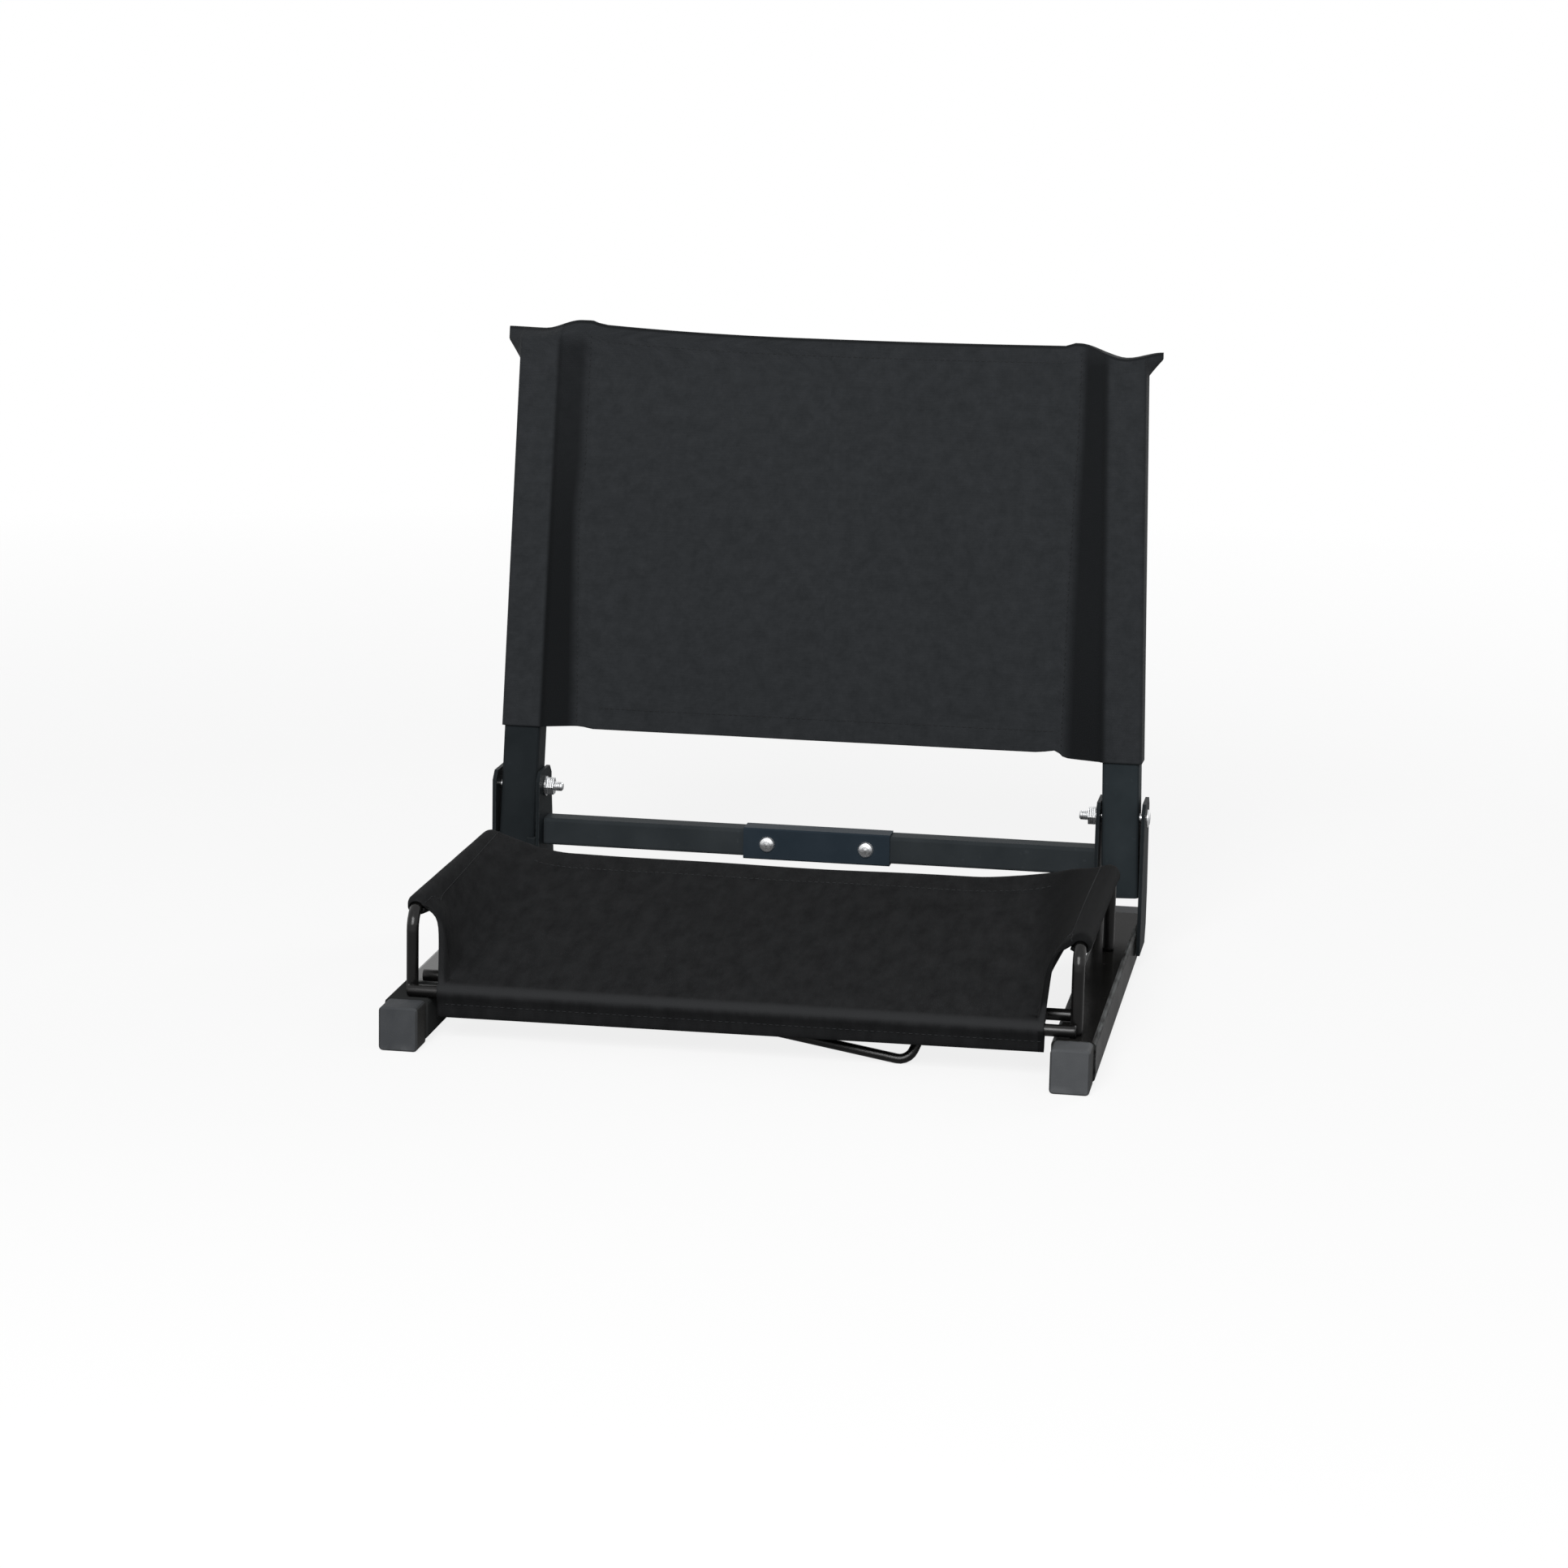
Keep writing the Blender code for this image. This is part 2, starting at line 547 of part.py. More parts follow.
def bleacher_hook():
    """A bent wire with an eye at each end, leaning forward so that its corner rests on the ground."""
    eye = ROD / 2 + HOOK_EYE_CLEARANCE + HOOK_WIRE / 2
    turns = 14

    def eye_points(x):
        angles = [HOOK_EYE_TURN * (1 - k / turns) for k in range(turns + 1)]
        return [Vector((x, -eye * math.cos(a), eye * math.sin(a))) for a in angles]

    left = eye_points(HOOK_LEFT)
    right = eye_points(HOOK_RIGHT)
    arms = [left[-1], Vector((HOOK_LEFT, -eye, -HOOK_LEFT_DROP)),
            Vector((HOOK_CORNER, -eye, -HOOK_REACH)), right[-1]]
    bends = round_corners(arms, HOOK_BEND, 5)
    path = left + bends[1:-1] + list(reversed(right))
    drop = ROD_ON_RAIL - HOOK_WIRE / 2 - HOOK_GROUND_GAP
    lowest = -min(point.z for point in path)
    lean = math.acos(drop / math.hypot(lowest, eye)) - math.atan2(eye, lowest)
    swing = pivot_empty("hook_pivot", place(0.0, -HOOK_ROD_AHEAD, ROD_ON_RAIL), (-lean, 0.0, 0.0))
    add("bleacher_hook", round_bar(path, HOOK_WIRE, 10), BLACK_WIRE, swing)


def back_sling(back):
    """A two-layer cover with a tunnel over each upright, a seam beside it and pointed top corners."""
    top = UPRIGHT_ABOVE + FIT_GAP + CAP_FLANGE + BACK_TOP_EASE
    crown = top + CLOTH
    inside = TUBE / 2 + CLOTH_EASE
    outside = inside + CLOTH
    soft = TUBE_CORNER / 2
    columns = [BACK_SEAM * k / 3 for k in (-2, -1, 0, 1, 2)]

    def tunnel_middle(height):
        return SIDE - UPRIGHT_INSET - height * math.tan(LEAN)

    def tunnel(height, half, seam, seam_half, ear=0.0):
        """Section of the right-hand tunnel, from the seam round the tube and back to the seam."""
        m = tunnel_middle(height)
        front = [(seam, -seam_half), (m - half, -half), (m + half - soft, -half), (m + half, soft - half),
                 (m + half + ear, -CLOTH)]
        return front + [(x, -y) for x, y in reversed(front)]

    def crest(x):
        """Rise of the top edge, which peaks at the seams and is level over the tubes."""
        share = min(abs(x) / BACK_SEAM, 1.0)
        over_tube = max((abs(x) - BACK_SEAM) / (SIDE - BACK_SEAM), 0.0)
        return (BACK_SEAM_RISE - BACK_TOP_DIP * (1 - share ** 2)) * max(1.0 - 1.6 * over_tube, 0.0)

    bm = bmesh.new()

    def outer_loop(height, ear, rise):
        right = tunnel(height, outside, BACK_SEAM, CLOTH, ear)
        points = ([(x, -CLOTH) for x in columns] + right + [(x, CLOTH) for x in reversed(columns)]
                  + [(-x, -y) for x, y in right])
        return [bm.verts.new((x, y, height + rise * crest(x))) for x, y in points]

    def wall(one, two):
        for k in range(len(one)):
            n = (k + 1) % len(one)
            bm.faces.new((one[k], one[n], two[n], two[k]))

    shoulder = crown - EAR_HEIGHT
    loops = [outer_loop(BACK_HEM, 0.0, 0.0), outer_loop((BACK_HEM + shoulder) / 2, 0.0, 0.0),
             outer_loop(shoulder, 0.0, 0.0), outer_loop(crown - 3 * CLOTH, EAR_OUT, 0.0),
             outer_loop(crown, EAR_OUT, 1.0)]
    for one, two in zip(loops, loops[1:]):
        wall(one, two)
    parts = len(columns)
    bends = len(tunnel(0.0, outside, BACK_SEAM, CLOTH))
    for loop in (loops[0], loops[-1]):
        front = [loop[-1]] + loop[:parts + 1]
        rear = [loop[-bends]] + list(reversed(loop[parts + bends - 1:2 * parts + bends]))
        for k in range(parts + 1):
            bm.faces.new((front[k], front[k + 1], rear[k + 1], rear[k]))
    for sign, start in ((1, parts), (-1, 2 * parts + bends)):
        outer = loops[0][start:start + bends]
        rows = []
        for height in (BACK_HEM, top):
            points = tunnel(height, inside, BACK_SEAM + 2 * CLOTH, 0.0)[:-1]
            rows.append([bm.verts.new((sign * x, sign * y, height)) for x, y in points])
        wall(*rows)
        bm.faces.new(rows[1])
        inner = rows[0] + rows[0][:1]
        bm.faces.new((outer[0], outer[-1], inner[0]))
        for k in range(bends - 1):
            bm.faces.new((outer[k], outer[k + 1], inner[k + 1], inner[k]))
        bm.faces.new(loops[-1][start:start + bends])
    bmesh.ops.triangulate(bm, faces=[face for face in bm.faces if len(face.verts) > 4])
    add("back_sling", bm, BLACK_CLOTH, back)


def seat_sling():
    """One sheet sewn round the side bars, slung flat from its rear edge down to a hem round the front rod."""
    sleeve = ROD / 2 + SLEEVE_EASE + CLOTH / 2
    roll = ROD / 2 + CLOTH_EASE + CLOTH / 2
    nose_start = -HOOP_FRONT + ROD_BEND
    bend_start = -HOOP_REAR - ROD_BEND
    bend_middle = HOOP_HEIGHT - ROD_BEND

    def on_rod(angle):
        return -FRONT_ROD_AHEAD + roll * math.cos(angle), ROD_ON_RAIL + roll * math.sin(angle)

    run = FRONT_ROD_AHEAD - SEAT_REAR
    fall = SEAT_REAR_HEIGHT - ROD_ON_RAIL
    meets = math.atan2(fall, run) + math.acos(roll / math.hypot(run, fall))
    rod_y, rod_z = on_rod(meets)

    def level(y):
        """Height of the seat's plane, which runs onto the front rod's top."""
        return rod_z + (SEAT_REAR_HEIGHT - rod_z) * (y - rod_y) / (-SEAT_REAR - rod_y)

    def soft(u):
        """Share of the way up a side fold, eased in at its foot."""
        if u > FOLD_SOFTNESS:
            return u
        return max(u + FOLD_SOFTNESS, 0.0) ** 2 / (4 * FOLD_SOFTNESS)

    def row(y, z, fold, edge, sag):
        """Points across the sheet: up a fold at each side to its edge, and flat between the folds."""
        half = []
        for u in (1.0, 0.6, 0.3, 0.05, -0.2):
            x = fold + (edge[0] - fold) * u
            dip = sag * (1 - min(x / fold, 1.0) ** 2)
            half.append((x, y + (edge[1] - y) * soft(u), z + (edge[2] - z) * soft(u) - dip))
        flat = [(f * fold, y, z - sag * (1 - f * f)) for f in (-0.6, -0.3, 0.0, 0.3, 0.6)]
        return [(-x, y, z) for x, y, z in half] + flat + list(reversed(half))

    turns = [(bend_start + ROD_BEND * math.sin(t), bend_middle + ROD_BEND * math.cos(t), t)
             for t in (SLEEVE_TURN, SLEEVE_TURN / 2)]
    turns += [(bend_start + (nose_start - bend_start) * k / 6, HOOP_HEIGHT, 0.0) for k in range(7)]
    first, last = turns[0][0], turns[-1][0]
    bm = bmesh.new()

    def row_of(points):
        return [bm.verts.new(place(*point)) for point in points]

    wraps = [math.radians(a) for a in (-125, -80, -35, 10, 55, 98)]
    rows = []
    for bar_y, bar_z, turn in turns:
        share = (bar_y - first) / (last - first)
        fold = FOLD_REAR + (FOLD_FRONT - FOLD_REAR) * share
        y = -SEAT_REAR + (SEAT_REAR - SEAT_LAST_ROW) * share
        sag = SEAT_SAG_REAR + (SEAT_SAG_FRONT - SEAT_SAG_REAR) * share

        def on_bar(angle):
            lift = sleeve * math.sin(angle)
            return (SIDE + sleeve * math.cos(angle), bar_y + lift * math.sin(turn),
                    bar_z + lift * math.cos(turn))

        inward, drop = SIDE - fold, bar_z - level(y)
        edge = on_bar(math.pi + math.atan2(drop, inward) - math.acos(sleeve / math.hypot(inward, drop)))
        wrapped = [on_bar(angle) for angle in wraps]
        rows.append(row_of([(-x, y, z) for x, y, z in wrapped] + row(y, level(y), fold, edge, sag)
                           + list(reversed(wrapped))))
    flap = [rows[-1][len(wraps):-len(wraps)]]
    for k in range(1, 5):
        share = k / 4
        y = -SEAT_LAST_ROW + (rod_y + SEAT_LAST_ROW) * share
        free = (edge[0] + (HEM_HALF - edge[0]) * (1 - (1 - share) ** 3), edge[1] + (rod_y - edge[1]) * share,
                edge[2] + (rod_z - edge[2]) * share)
        flap.append(row_of(row(y, level(y), FOLD_FRONT, free, SEAT_SAG_FRONT * (1 - share))))
    hem = [on_rod(math.radians(a)) for a in (128, 156, 184, 205)]
    fin = (hem[-1][1] - roll * 0.85, HEM_BOTTOM + roll * 0.33)
    hem += [(-FRONT_ROD_AHEAD - CLOTH * 2.0, fin[0]), (-FRONT_ROD_AHEAD - CLOTH * 1.4, fin[1]),
            (-FRONT_ROD_AHEAD, HEM_BOTTOM), (-FRONT_ROD_AHEAD + CLOTH * 1.4, fin[1]),
            (-FRONT_ROD_AHEAD + CLOTH * 2.0, fin[0])]
    hem += [on_rod(math.radians(a)) for a in (-25, 10, 50)]
    hem += [(y, level(y) - HEM_RETURN) for y in (-SEAT_LAST_ROW - roll, -SEAT_LAST_ROW)]
    for y, z in hem:
        flap.append(row_of(row(y, z, FOLD_FRONT, (HEM_HALF, y, z), 0.0)))
    for group in (rows, flap):
        for one, two in zip(group, group[1:]):
            for k in range(len(one) - 1):
                bm.faces.new((one[k], one[k + 1], two[k + 1], two[k]))
    sling = add("seat_sling", bm, BLACK_CLOTH)
    thick = sling.modifiers.new("cloth", "SOLIDIFY")
    thick.thickness = CLOTH
    thick.offset = 0.0
    thick.use_even_offset = True


for side, sign in SIDES:
    floor_rail(side, sign)
    for end in ("front", "rear"):
        rubber_foot(end, side, sign)
    for face in ("inner", "outer"):
        pivot_plate(face, side, sign)
    pivot_hardware(side, sign)
    back_stop(side, sign)
    crossbar(side, sign)
    seat_hoop(side, sign)
splice()
cross_rod("front_rod", FRONT_ROD_AHEAD)
cross_rod("hook_rod", HOOK_ROD_AHEAD)
bleacher_hook()
seat_sling()

back_pivot = pivot_empty("back_pivot", place(0.0, 0.0, PIVOT_HEIGHT), (-RECLINE, 0.0, 0.0))
for side, sign in SIDES:
    upright(side, sign, back_pivot)
back_sling(back_pivot)
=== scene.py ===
"""Folding stadium chair: sling seat on two bent side bars, sling back on two uprights that fold forward.

Metres, +Z up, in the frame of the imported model. +X is the right-hand side seen from the front.
"""
import math

import bmesh
import bpy
from mathutils import Matrix, Vector


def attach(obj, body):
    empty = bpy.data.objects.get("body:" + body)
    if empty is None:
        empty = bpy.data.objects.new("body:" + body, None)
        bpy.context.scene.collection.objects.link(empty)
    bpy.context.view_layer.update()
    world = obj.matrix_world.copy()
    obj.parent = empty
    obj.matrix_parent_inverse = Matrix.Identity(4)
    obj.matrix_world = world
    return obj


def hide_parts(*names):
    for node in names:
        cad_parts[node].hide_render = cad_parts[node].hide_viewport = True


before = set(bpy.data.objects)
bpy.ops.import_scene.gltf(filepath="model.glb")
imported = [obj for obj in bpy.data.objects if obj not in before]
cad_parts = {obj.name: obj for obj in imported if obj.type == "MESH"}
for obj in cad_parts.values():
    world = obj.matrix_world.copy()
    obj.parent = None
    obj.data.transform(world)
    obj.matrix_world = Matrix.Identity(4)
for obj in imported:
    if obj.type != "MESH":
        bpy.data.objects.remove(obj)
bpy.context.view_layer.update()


# Floor rails: two lengths of rectangular steel tube that carry the chair, with a rubber foot at each end.
# The rest of the frame is welded to them. Their black powder coat has a painted highlight along its edges;
# it is glossy on the left rail but made dull at the front end there as painted shade,
# and the right one's is a darker, dull copy, painted shade.
class Tone:
    """A value, colour or place that changes over a finish. Sums written with it become Math nodes."""

    def __init__(self, tree, socket=None):
        self.tree = tree
        self.socket = socket

    def node(self, kind, settings=None, sockets=None, out=0):
        """Add a node of one kind: its settings come first, then its sockets' values or links."""
        made = self.tree.nodes.new(kind)
        for name, value in (settings or {}).items():
            setattr(made, name, value)
        for key, value in (sockets or {}).items():
            if isinstance(value, Tone):
                self.tree.links.new(value.socket, made.inputs[key])
            else:
                made.inputs[key].default_value = value
        return Tone(self.tree, made.outputs[out] if made.outputs else None)

    def maths(self, operation, *others):
        """A Math node with this value as its first term."""
        return self.node("ShaderNodeMath", {"operation": operation}, dict(enumerate((self, *others))))

    def __add__(self, other):
        return self.maths("ADD", other)

    __radd__ = __add__

    def __sub__(self, other):
        return self.maths("SUBTRACT", other)

    def __rsub__(self, other):
        return self.node("ShaderNodeMath", {"operation": "SUBTRACT"}, {0: other, 1: self})

    def __mul__(self, other):
        return self.maths("MULTIPLY", other)

    __rmul__ = __mul__

    def __abs__(self):
        return self.maths("ABSOLUTE")

    def within(self, low, high):
        """0 below low, 1 above high and even between them."""
        return self.node("ShaderNodeMapRange", {"clamp": True}, {0: self, 1: low, 2: high, 3: 0.0, 4: 1.0})

    def axis(self, index):
        """One number of a place or a direction: 0 for x, 1 for y and 2 for z."""
        return self.node("ShaderNodeSeparateXYZ", None, {0: self}, index)

    def stretched(self, x, y, z):
        """A place with its three numbers multiplied."""
        return self.node("ShaderNodeVectorMath", {"operation": "MULTIPLY"}, {0: self, 1: (x, y, z)})


def new_finish(name, constants):
    """A finish with the values that are the same all over it, and the place on the piece in metres."""
    made = bpy.data.materials.new(name)
    made.use_nodes = True
    shader = made.node_tree.nodes["Principled BSDF"]
    for socket, value in constants.items():
        shader.inputs[socket].default_value = value
    return made, Tone(made.node_tree).node("ShaderNodeTexCoord", out="Object")


def lay(made, changing):
    """Give a finish the values that change over it."""
    shader = made.node_tree.nodes["Principled BSDF"]
    for socket, tone in changing.items():
        made.node_tree.links.new(tone.socket, shader.inputs[socket])
    return made


def cloudy(place, scale, detail=2.0):
    """Soft noise from 0 to 1 over a place, finer with a larger scale."""
    return place.node("ShaderNodeTexNoise", None, {"Vector": place, "Scale": scale, "Detail": detail})


def between(share, first, second):
    """A colour between two others, the first of which may itself change over the piece."""
    first = first if isinstance(first, Tone) else (*first, 1.0)
    return share.node("ShaderNodeMix", {"data_type": "RGBA"}, {0: share, 6: first, 7: (*second, 1.0)}, 2)


def relief(height, depth, strength, **start):
    """A bump with its depth in metres, which may start from another normal."""
    sockets = {"Strength": strength, "Distance": depth, "Height": height, **start}
    return height.node("ShaderNodeBump", None, sockets)


def powder_coat(name, dark, light, shine, roughness, edge_highlight=(0.045, 0.049, 0.051), edge=0.0009):
    """Black powder coat: cloudy gloss, a fine orange peel, and a painted highlight in streaks along its
    edges and upper corners.
    """
    made, place = new_finish(name, {"Specular IOR Level": shine})
    patches = cloudy(place, scale=30.0, detail=4.0)
    peel = cloudy(place, scale=520.0, detail=1.5)
    scuffs = cloudy(place, scale=190.0, detail=5.0).within(0.66, 0.74)
    streaks = cloudy(place.stretched(240.0, 45.0, 240.0), scale=1.0, detail=4.0).within(0.34, 0.60)
    flat = place.node("ShaderNodeNewGeometry", out="Normal")
    rounded = place.node("ShaderNodeBevel", {"samples": 4}, {"Radius": edge})
    alike = place.node("ShaderNodeVectorMath", {"operation": "DOT_PRODUCT"}, {0: flat, 1: rounded}, "Value")
    # Painted highlight, paler in streaks, along sharp edges and along the upper rounded corners.
    corners = (abs(flat.axis(0)) * flat.axis(2)).within(0.10, 0.32)
    painted_light = ((1.0 - alike).within(0.02, 0.22) + corners).within(0.0, 1.0) * streaks
    coat = between((patches + 0.30 * scuffs).within(0.0, 1.3), dark, light)
    return lay(made, {
        "Base Color": between(painted_light, coat, edge_highlight),
        "Roughness": roughness + 0.14 * patches + 0.10 * scuffs,
        "Normal": relief(peel, depth=0.00015, strength=0.22)})


def dress(finish, *nodes):
    """Put a finish on solids that keep their own shape."""
    for node in nodes:
        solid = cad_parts[node]
        solid.data.materials.clear()
        solid.data.materials.append(finish)


def dull_shaded_front(made, dull_to, gloss_from, painted_shade_colour):
    """A gloss coat made dull, with no reflection, over the rail's front end as painted shade, with a ragged
    border.
    """
    tree = made.node_tree
    place = Tone(tree).node("ShaderNodeTexCoord", out="Object")
    ragged = place.axis(1) + 0.02 * cloudy(place, scale=130.0, detail=3.0)
    dull = place.node("ShaderNodeBsdfDiffuse", None, {"Color": (*painted_shade_colour, 1.0), "Roughness": 0.5})
    gloss = Tone(tree, tree.nodes["Principled BSDF"].outputs[0])
    kept = ragged.within(dull_to, gloss_from)
    both = place.node("ShaderNodeMixShader", None, {0: kept, 1: dull, 2: gloss})
    tree.links.new(both.socket, tree.nodes["Material Output"].inputs["Surface"])
    return made


# Colour of the rails' painted edge highlight.
RAIL_EDGE_HIGHLIGHT = (0.105, 0.112, 0.113)
RAIL_EDGE = 0.0018
gloss_rail = powder_coat("rail_gloss_coat", dark=(0.0050, 0.0050, 0.0048), light=(0.0260, 0.0260, 0.0250),
                         shine=0.13, roughness=0.08, edge_highlight=RAIL_EDGE_HIGHLIGHT, edge=RAIL_EDGE)
# The right rail's coat is a darker copy of the left one's with almost no reflection: painted shade.
shaded_rail = powder_coat("rail_shaded_coat", dark=(0.0050, 0.0048, 0.0045), light=(0.0200, 0.0195, 0.0185),
                        shine=0.005, roughness=0.10, edge_highlight=RAIL_EDGE_HIGHLIGHT, edge=RAIL_EDGE)
# The left rail's front end is painted shade: dull and with no reflection.
dress(dull_shaded_front(gloss_rail, dull_to=-0.124, gloss_from=-0.112, painted_shade_colour=(0.026, 0.027, 0.027)),
      "base_rail_left")
dress(shaded_rail, "base_rail_right")


# Feet: four moulded rubber blocks, plugged into the rails' ends, that lift the rails off the ground.
# Dark grey rubber with a fine moulded grain, scuffed paler along the sole, with painted shade on the sides
# that face left and right, and painted light that makes the right feet paler than the left.
def grey_rubber():
    made, place = new_finish("grey_rubber", {"Specular IOR Level": 0.22})
    grain = cloudy(place, scale=1500.0)
    blotch = cloudy(place, scale=90.0, detail=4.0)
    scuffed = (1.0 - place.axis(2).within(0.001, 0.006)) * blotch.within(0.35, 0.65)
    # Painted shade on the sides facing left and right, and painted light on the feet at the right.
    shaded_sides = abs(place.node("ShaderNodeNewGeometry", out="Normal").axis(0)).within(0.55, 0.95)
    right = place.axis(0).within(-0.02, 0.02)
    tone = (0.55 * blotch + 0.6 * scuffed + 0.50 * right - 0.14).within(0.0, 1.0)
    pale = between(tone, (0.040, 0.043, 0.047), (0.085, 0.089, 0.094))
    return lay(made, {
        "Base Color": between(shaded_sides * (1.0 - 0.8 * scuffed), pale, (0.020, 0.020, 0.019)),
        "Roughness": 0.62 + 0.2 * grain,
        "Normal": relief(grain, depth=0.0002, strength=0.35)})


dress(grey_rubber(), "front_foot_left", "front_foot_right", "rear_foot_left", "rear_foot_right")


# Pivot plates: two pressed steel plates on each rail, welded to its sides, that hold the upright between
# them. A small stop tab on the inner plate meets the upright when the back is up.
# Black powder coat, less glossy than the left rail's.
black_coat = powder_coat("black_powder_coat", dark=(0.0078, 0.0100, 0.0114), light=(0.0300, 0.0355, 0.0390),
                         shine=0.02, roughness=0.34)
for side in ("left", "right"):
    dress(black_coat, "pivot_plate_inner_" + side, "pivot_plate_outer_" + side, "back_stop_" + side)


# Rear crossbar: two halves of small square tube, welded to the inner plates and joined by a pressed channel.
# The tubes have a paler copy of the plates' powder coat, painted light against the back's shade,
# and the channel's is bluer and glossier.
def channel_coat():
    made, place = new_finish("channel_coat", {"Specular IOR Level": 0.008})
    patches = cloudy(place, scale=45.0, detail=3.0)
    peel = cloudy(place, scale=480.0, detail=1.5)
    return lay(made, {
        "Base Color": between(patches, (0.017, 0.026, 0.035), (0.031, 0.042, 0.054)),
        "Roughness": 0.22 + 0.14 * patches,
        "Normal": relief(peel, depth=0.00012, strength=0.2)})


# Painted light: the plates' coat, paler.
crossbar_lit_coat = powder_coat("crossbar_painted_light_coat", dark=(0.0175, 0.0215, 0.0243),
                            light=(0.0530, 0.0605, 0.0655), shine=0.010, roughness=0.36)
dress(crossbar_lit_coat, "crossbar_left", "crossbar_right")
dress(channel_coat(), "crossbar_splice")


# Splice bolts and nuts: bright zinc-plated steel, with one low round head for each tube on the channel's
# face and a nut behind. The plating is clouded, and a little duller in patches.
def zinc_plate(name, axis, thread_from, thread_to, pitch=0.00127, run_out=0.0002):
    """Bright zinc plate, with a thread along one axis where a bolt's end stands past its nut."""
    made, place = new_finish(name, {"Metallic": 1.0})
    cloud = cloudy(place, scale=420.0, detail=4.0)
    fine = cloudy(place, scale=2600.0)
    along = abs(place.axis(axis))
    thread = abs((along * (math.pi / pitch)).maths("SINE"))
    started = along.within(thread_from, thread_from + run_out)
    cut = started * (1.0 - along.within(thread_to, thread_to + run_out))
    return lay(made, {
        "Base Color": between(cloud - 0.5 * cut * thread, (0.62, 0.63, 0.64), (0.86, 0.87, 0.88)),
        "Roughness": 0.24 + 0.20 * cloud,
        "Normal": relief(0.12 * fine + thread * cut, depth=0.0005, strength=0.6)})


splice_zinc = zinc_plate("splice_zinc", axis=1, thread_from=0.1585, thread_to=0.1700)
for side in ("left", "right"):
    dress(splice_zinc, "splice_bolt_" + side, "splice_nut_" + side)


# Seat hoops and cross rods: round steel bar, bent cold, with black gloss enamel over the drawn surface.
# The hoops' legs stand on the rails, and the two cross rods lie across the rails.
def gloss_enamel():
    made, place = new_finish("black_gloss_enamel", {"Specular IOR Level": 0.30})
    runs = cloudy(place, scale=60.0, detail=3.0)
    drawn = cloudy(place, scale=900.0)
    smooth_bends = place.node("ShaderNodeBevel", {"samples": 8}, {"Radius": 0.0025})
    return lay(made, {
        "Base Color": between(runs, (0.0026, 0.0026, 0.0027), (0.0075, 0.0072, 0.0070)),
        "Roughness": 0.16 + 0.15 * runs,
        "Normal": relief(drawn, depth=0.0001, strength=0.15, Normal=smooth_bends)})


black_enamel = gloss_enamel()
dress(black_enamel, "seat_hoop_left", "seat_hoop_right", "front_rod", "hook_rod")


# Bleacher hook: bent steel wire, thinner than the rods, that catches the edge of a bleacher plank.
# It has an eye at each end round the hook rod, so that it swings. Same gloss enamel.
dress(black_enamel, "bleacher_hook")


# Uprights: 1 in square steel tube that turns on the pivot bolts, plugged at the top with black plastic.
# The sling covers all but the lowest stretch. The left one has the plates' powder coat, and the right
# one's is a bluer, paler copy of it, painted light.
def moulded_plastic():
    made, place = new_finish("black_moulded_plastic", {"Specular IOR Level": 0.35})
    grain = cloudy(place, scale=1100.0)
    return lay(made, {
        "Base Color": between(grain, (0.012, 0.012, 0.013), (0.022, 0.022, 0.024)),
        "Roughness": 0.40 + 0.2 * grain,
        "Normal": relief(grain, depth=0.0001, strength=0.3)})


# Painted light: a bluer, paler copy of the plates' coat for the right upright.
upright_right_lit_coat = powder_coat("upright_right_painted_light_coat", dark=(0.0112, 0.0150, 0.0172),
                              light=(0.0420, 0.0520, 0.0580), shine=0.02, roughness=0.34)
dress(black_coat, "upright_left")
dress(upright_right_lit_coat, "upright_right")
dress(moulded_plastic(), "upright_cap_left", "upright_cap_right")


# Pivot bolts: zinc-plated bolts with low heads outside, through both plates and the upright.
# A washer and a nut hold each on the inside, where the thread's end stands past the nut.
pivot_zinc = zinc_plate("pivot_zinc", axis=0, thread_from=0.1700, thread_to=0.1945)
for side in ("left", "right"):
    dress(pivot_zinc, "pivot_bolt_" + side, "pivot_washer_" + side, "pivot_nut_" + side)


# Back sling: one cover of woven polyester in two layers, slipped over both uprights from above.
# A seam beside each upright makes its tunnel, with a dart between seam and tube, and the top is sewn shut
# and stands out at the corners. Heights are along the back, from the pivot bolts.
LEFT = -1
RIGHT = 1
PIVOT_Y = 0.144
PIVOT_Z = 0.1034
SIDE = 0.2115              # from the chair's middle to the middle of each rail and side bar
RECLINE = math.radians(3.0)
LEAN = math.radians(1.7)   # the sling draws the uprights together towards the top
UPRIGHT_INSET = 0.00063    # of the uprights' middles at the bolts
CLOTH_HALF = 0.0012        # the panel's two layers together, halved
TOP_FULLNESS = 0.0005      # what the turned-in top adds to that
TUNNEL_HALF = 0.0144       # outside of the cloth round the square tube
SHUT_HALF = 0.0017         # outside of the tunnel where it is sewn shut
SHUT_CURVE = 1.15
OUTER_BEND = 0.0032        # of the cloth round the tube's corners
INNER_BEND = 0.0022
HEM = 0.042
SHOULDER = 0.292
CAP_TOP = 0.3136
PANEL_TOP = 0.3195
PANEL_LEVEL = 0.020        # the top edge is level so far from the middle, then rises to the flank
PANEL_FLANK = 0.160
PANEL_RISE = {LEFT: 0.0043, RIGHT: 0.0013}
PEAK = {LEFT: 0.3264, RIGHT: 0.3229}         # the top edge beside a seam
PEAK_FROM = {LEFT: 0.1690, RIGHT: 0.1640}
PEAK_TO = {LEFT: 0.1760, RIGHT: 0.1690}
OVER_TUBE = {LEFT: 0.3202, RIGHT: 0.3143}    # the top edge over an upright
EAR_TIP = {LEFT: 0.3207, RIGHT: 0.3187}      # the standing corner's end
EAR_OUT = {LEFT: 0.0105, RIGHT: 0.0100}      # how far it stands out past the tunnel
EAR_FROM = {LEFT: 0.10, RIGHT: 0.38}         # shares of the way from the shoulder to the top edge
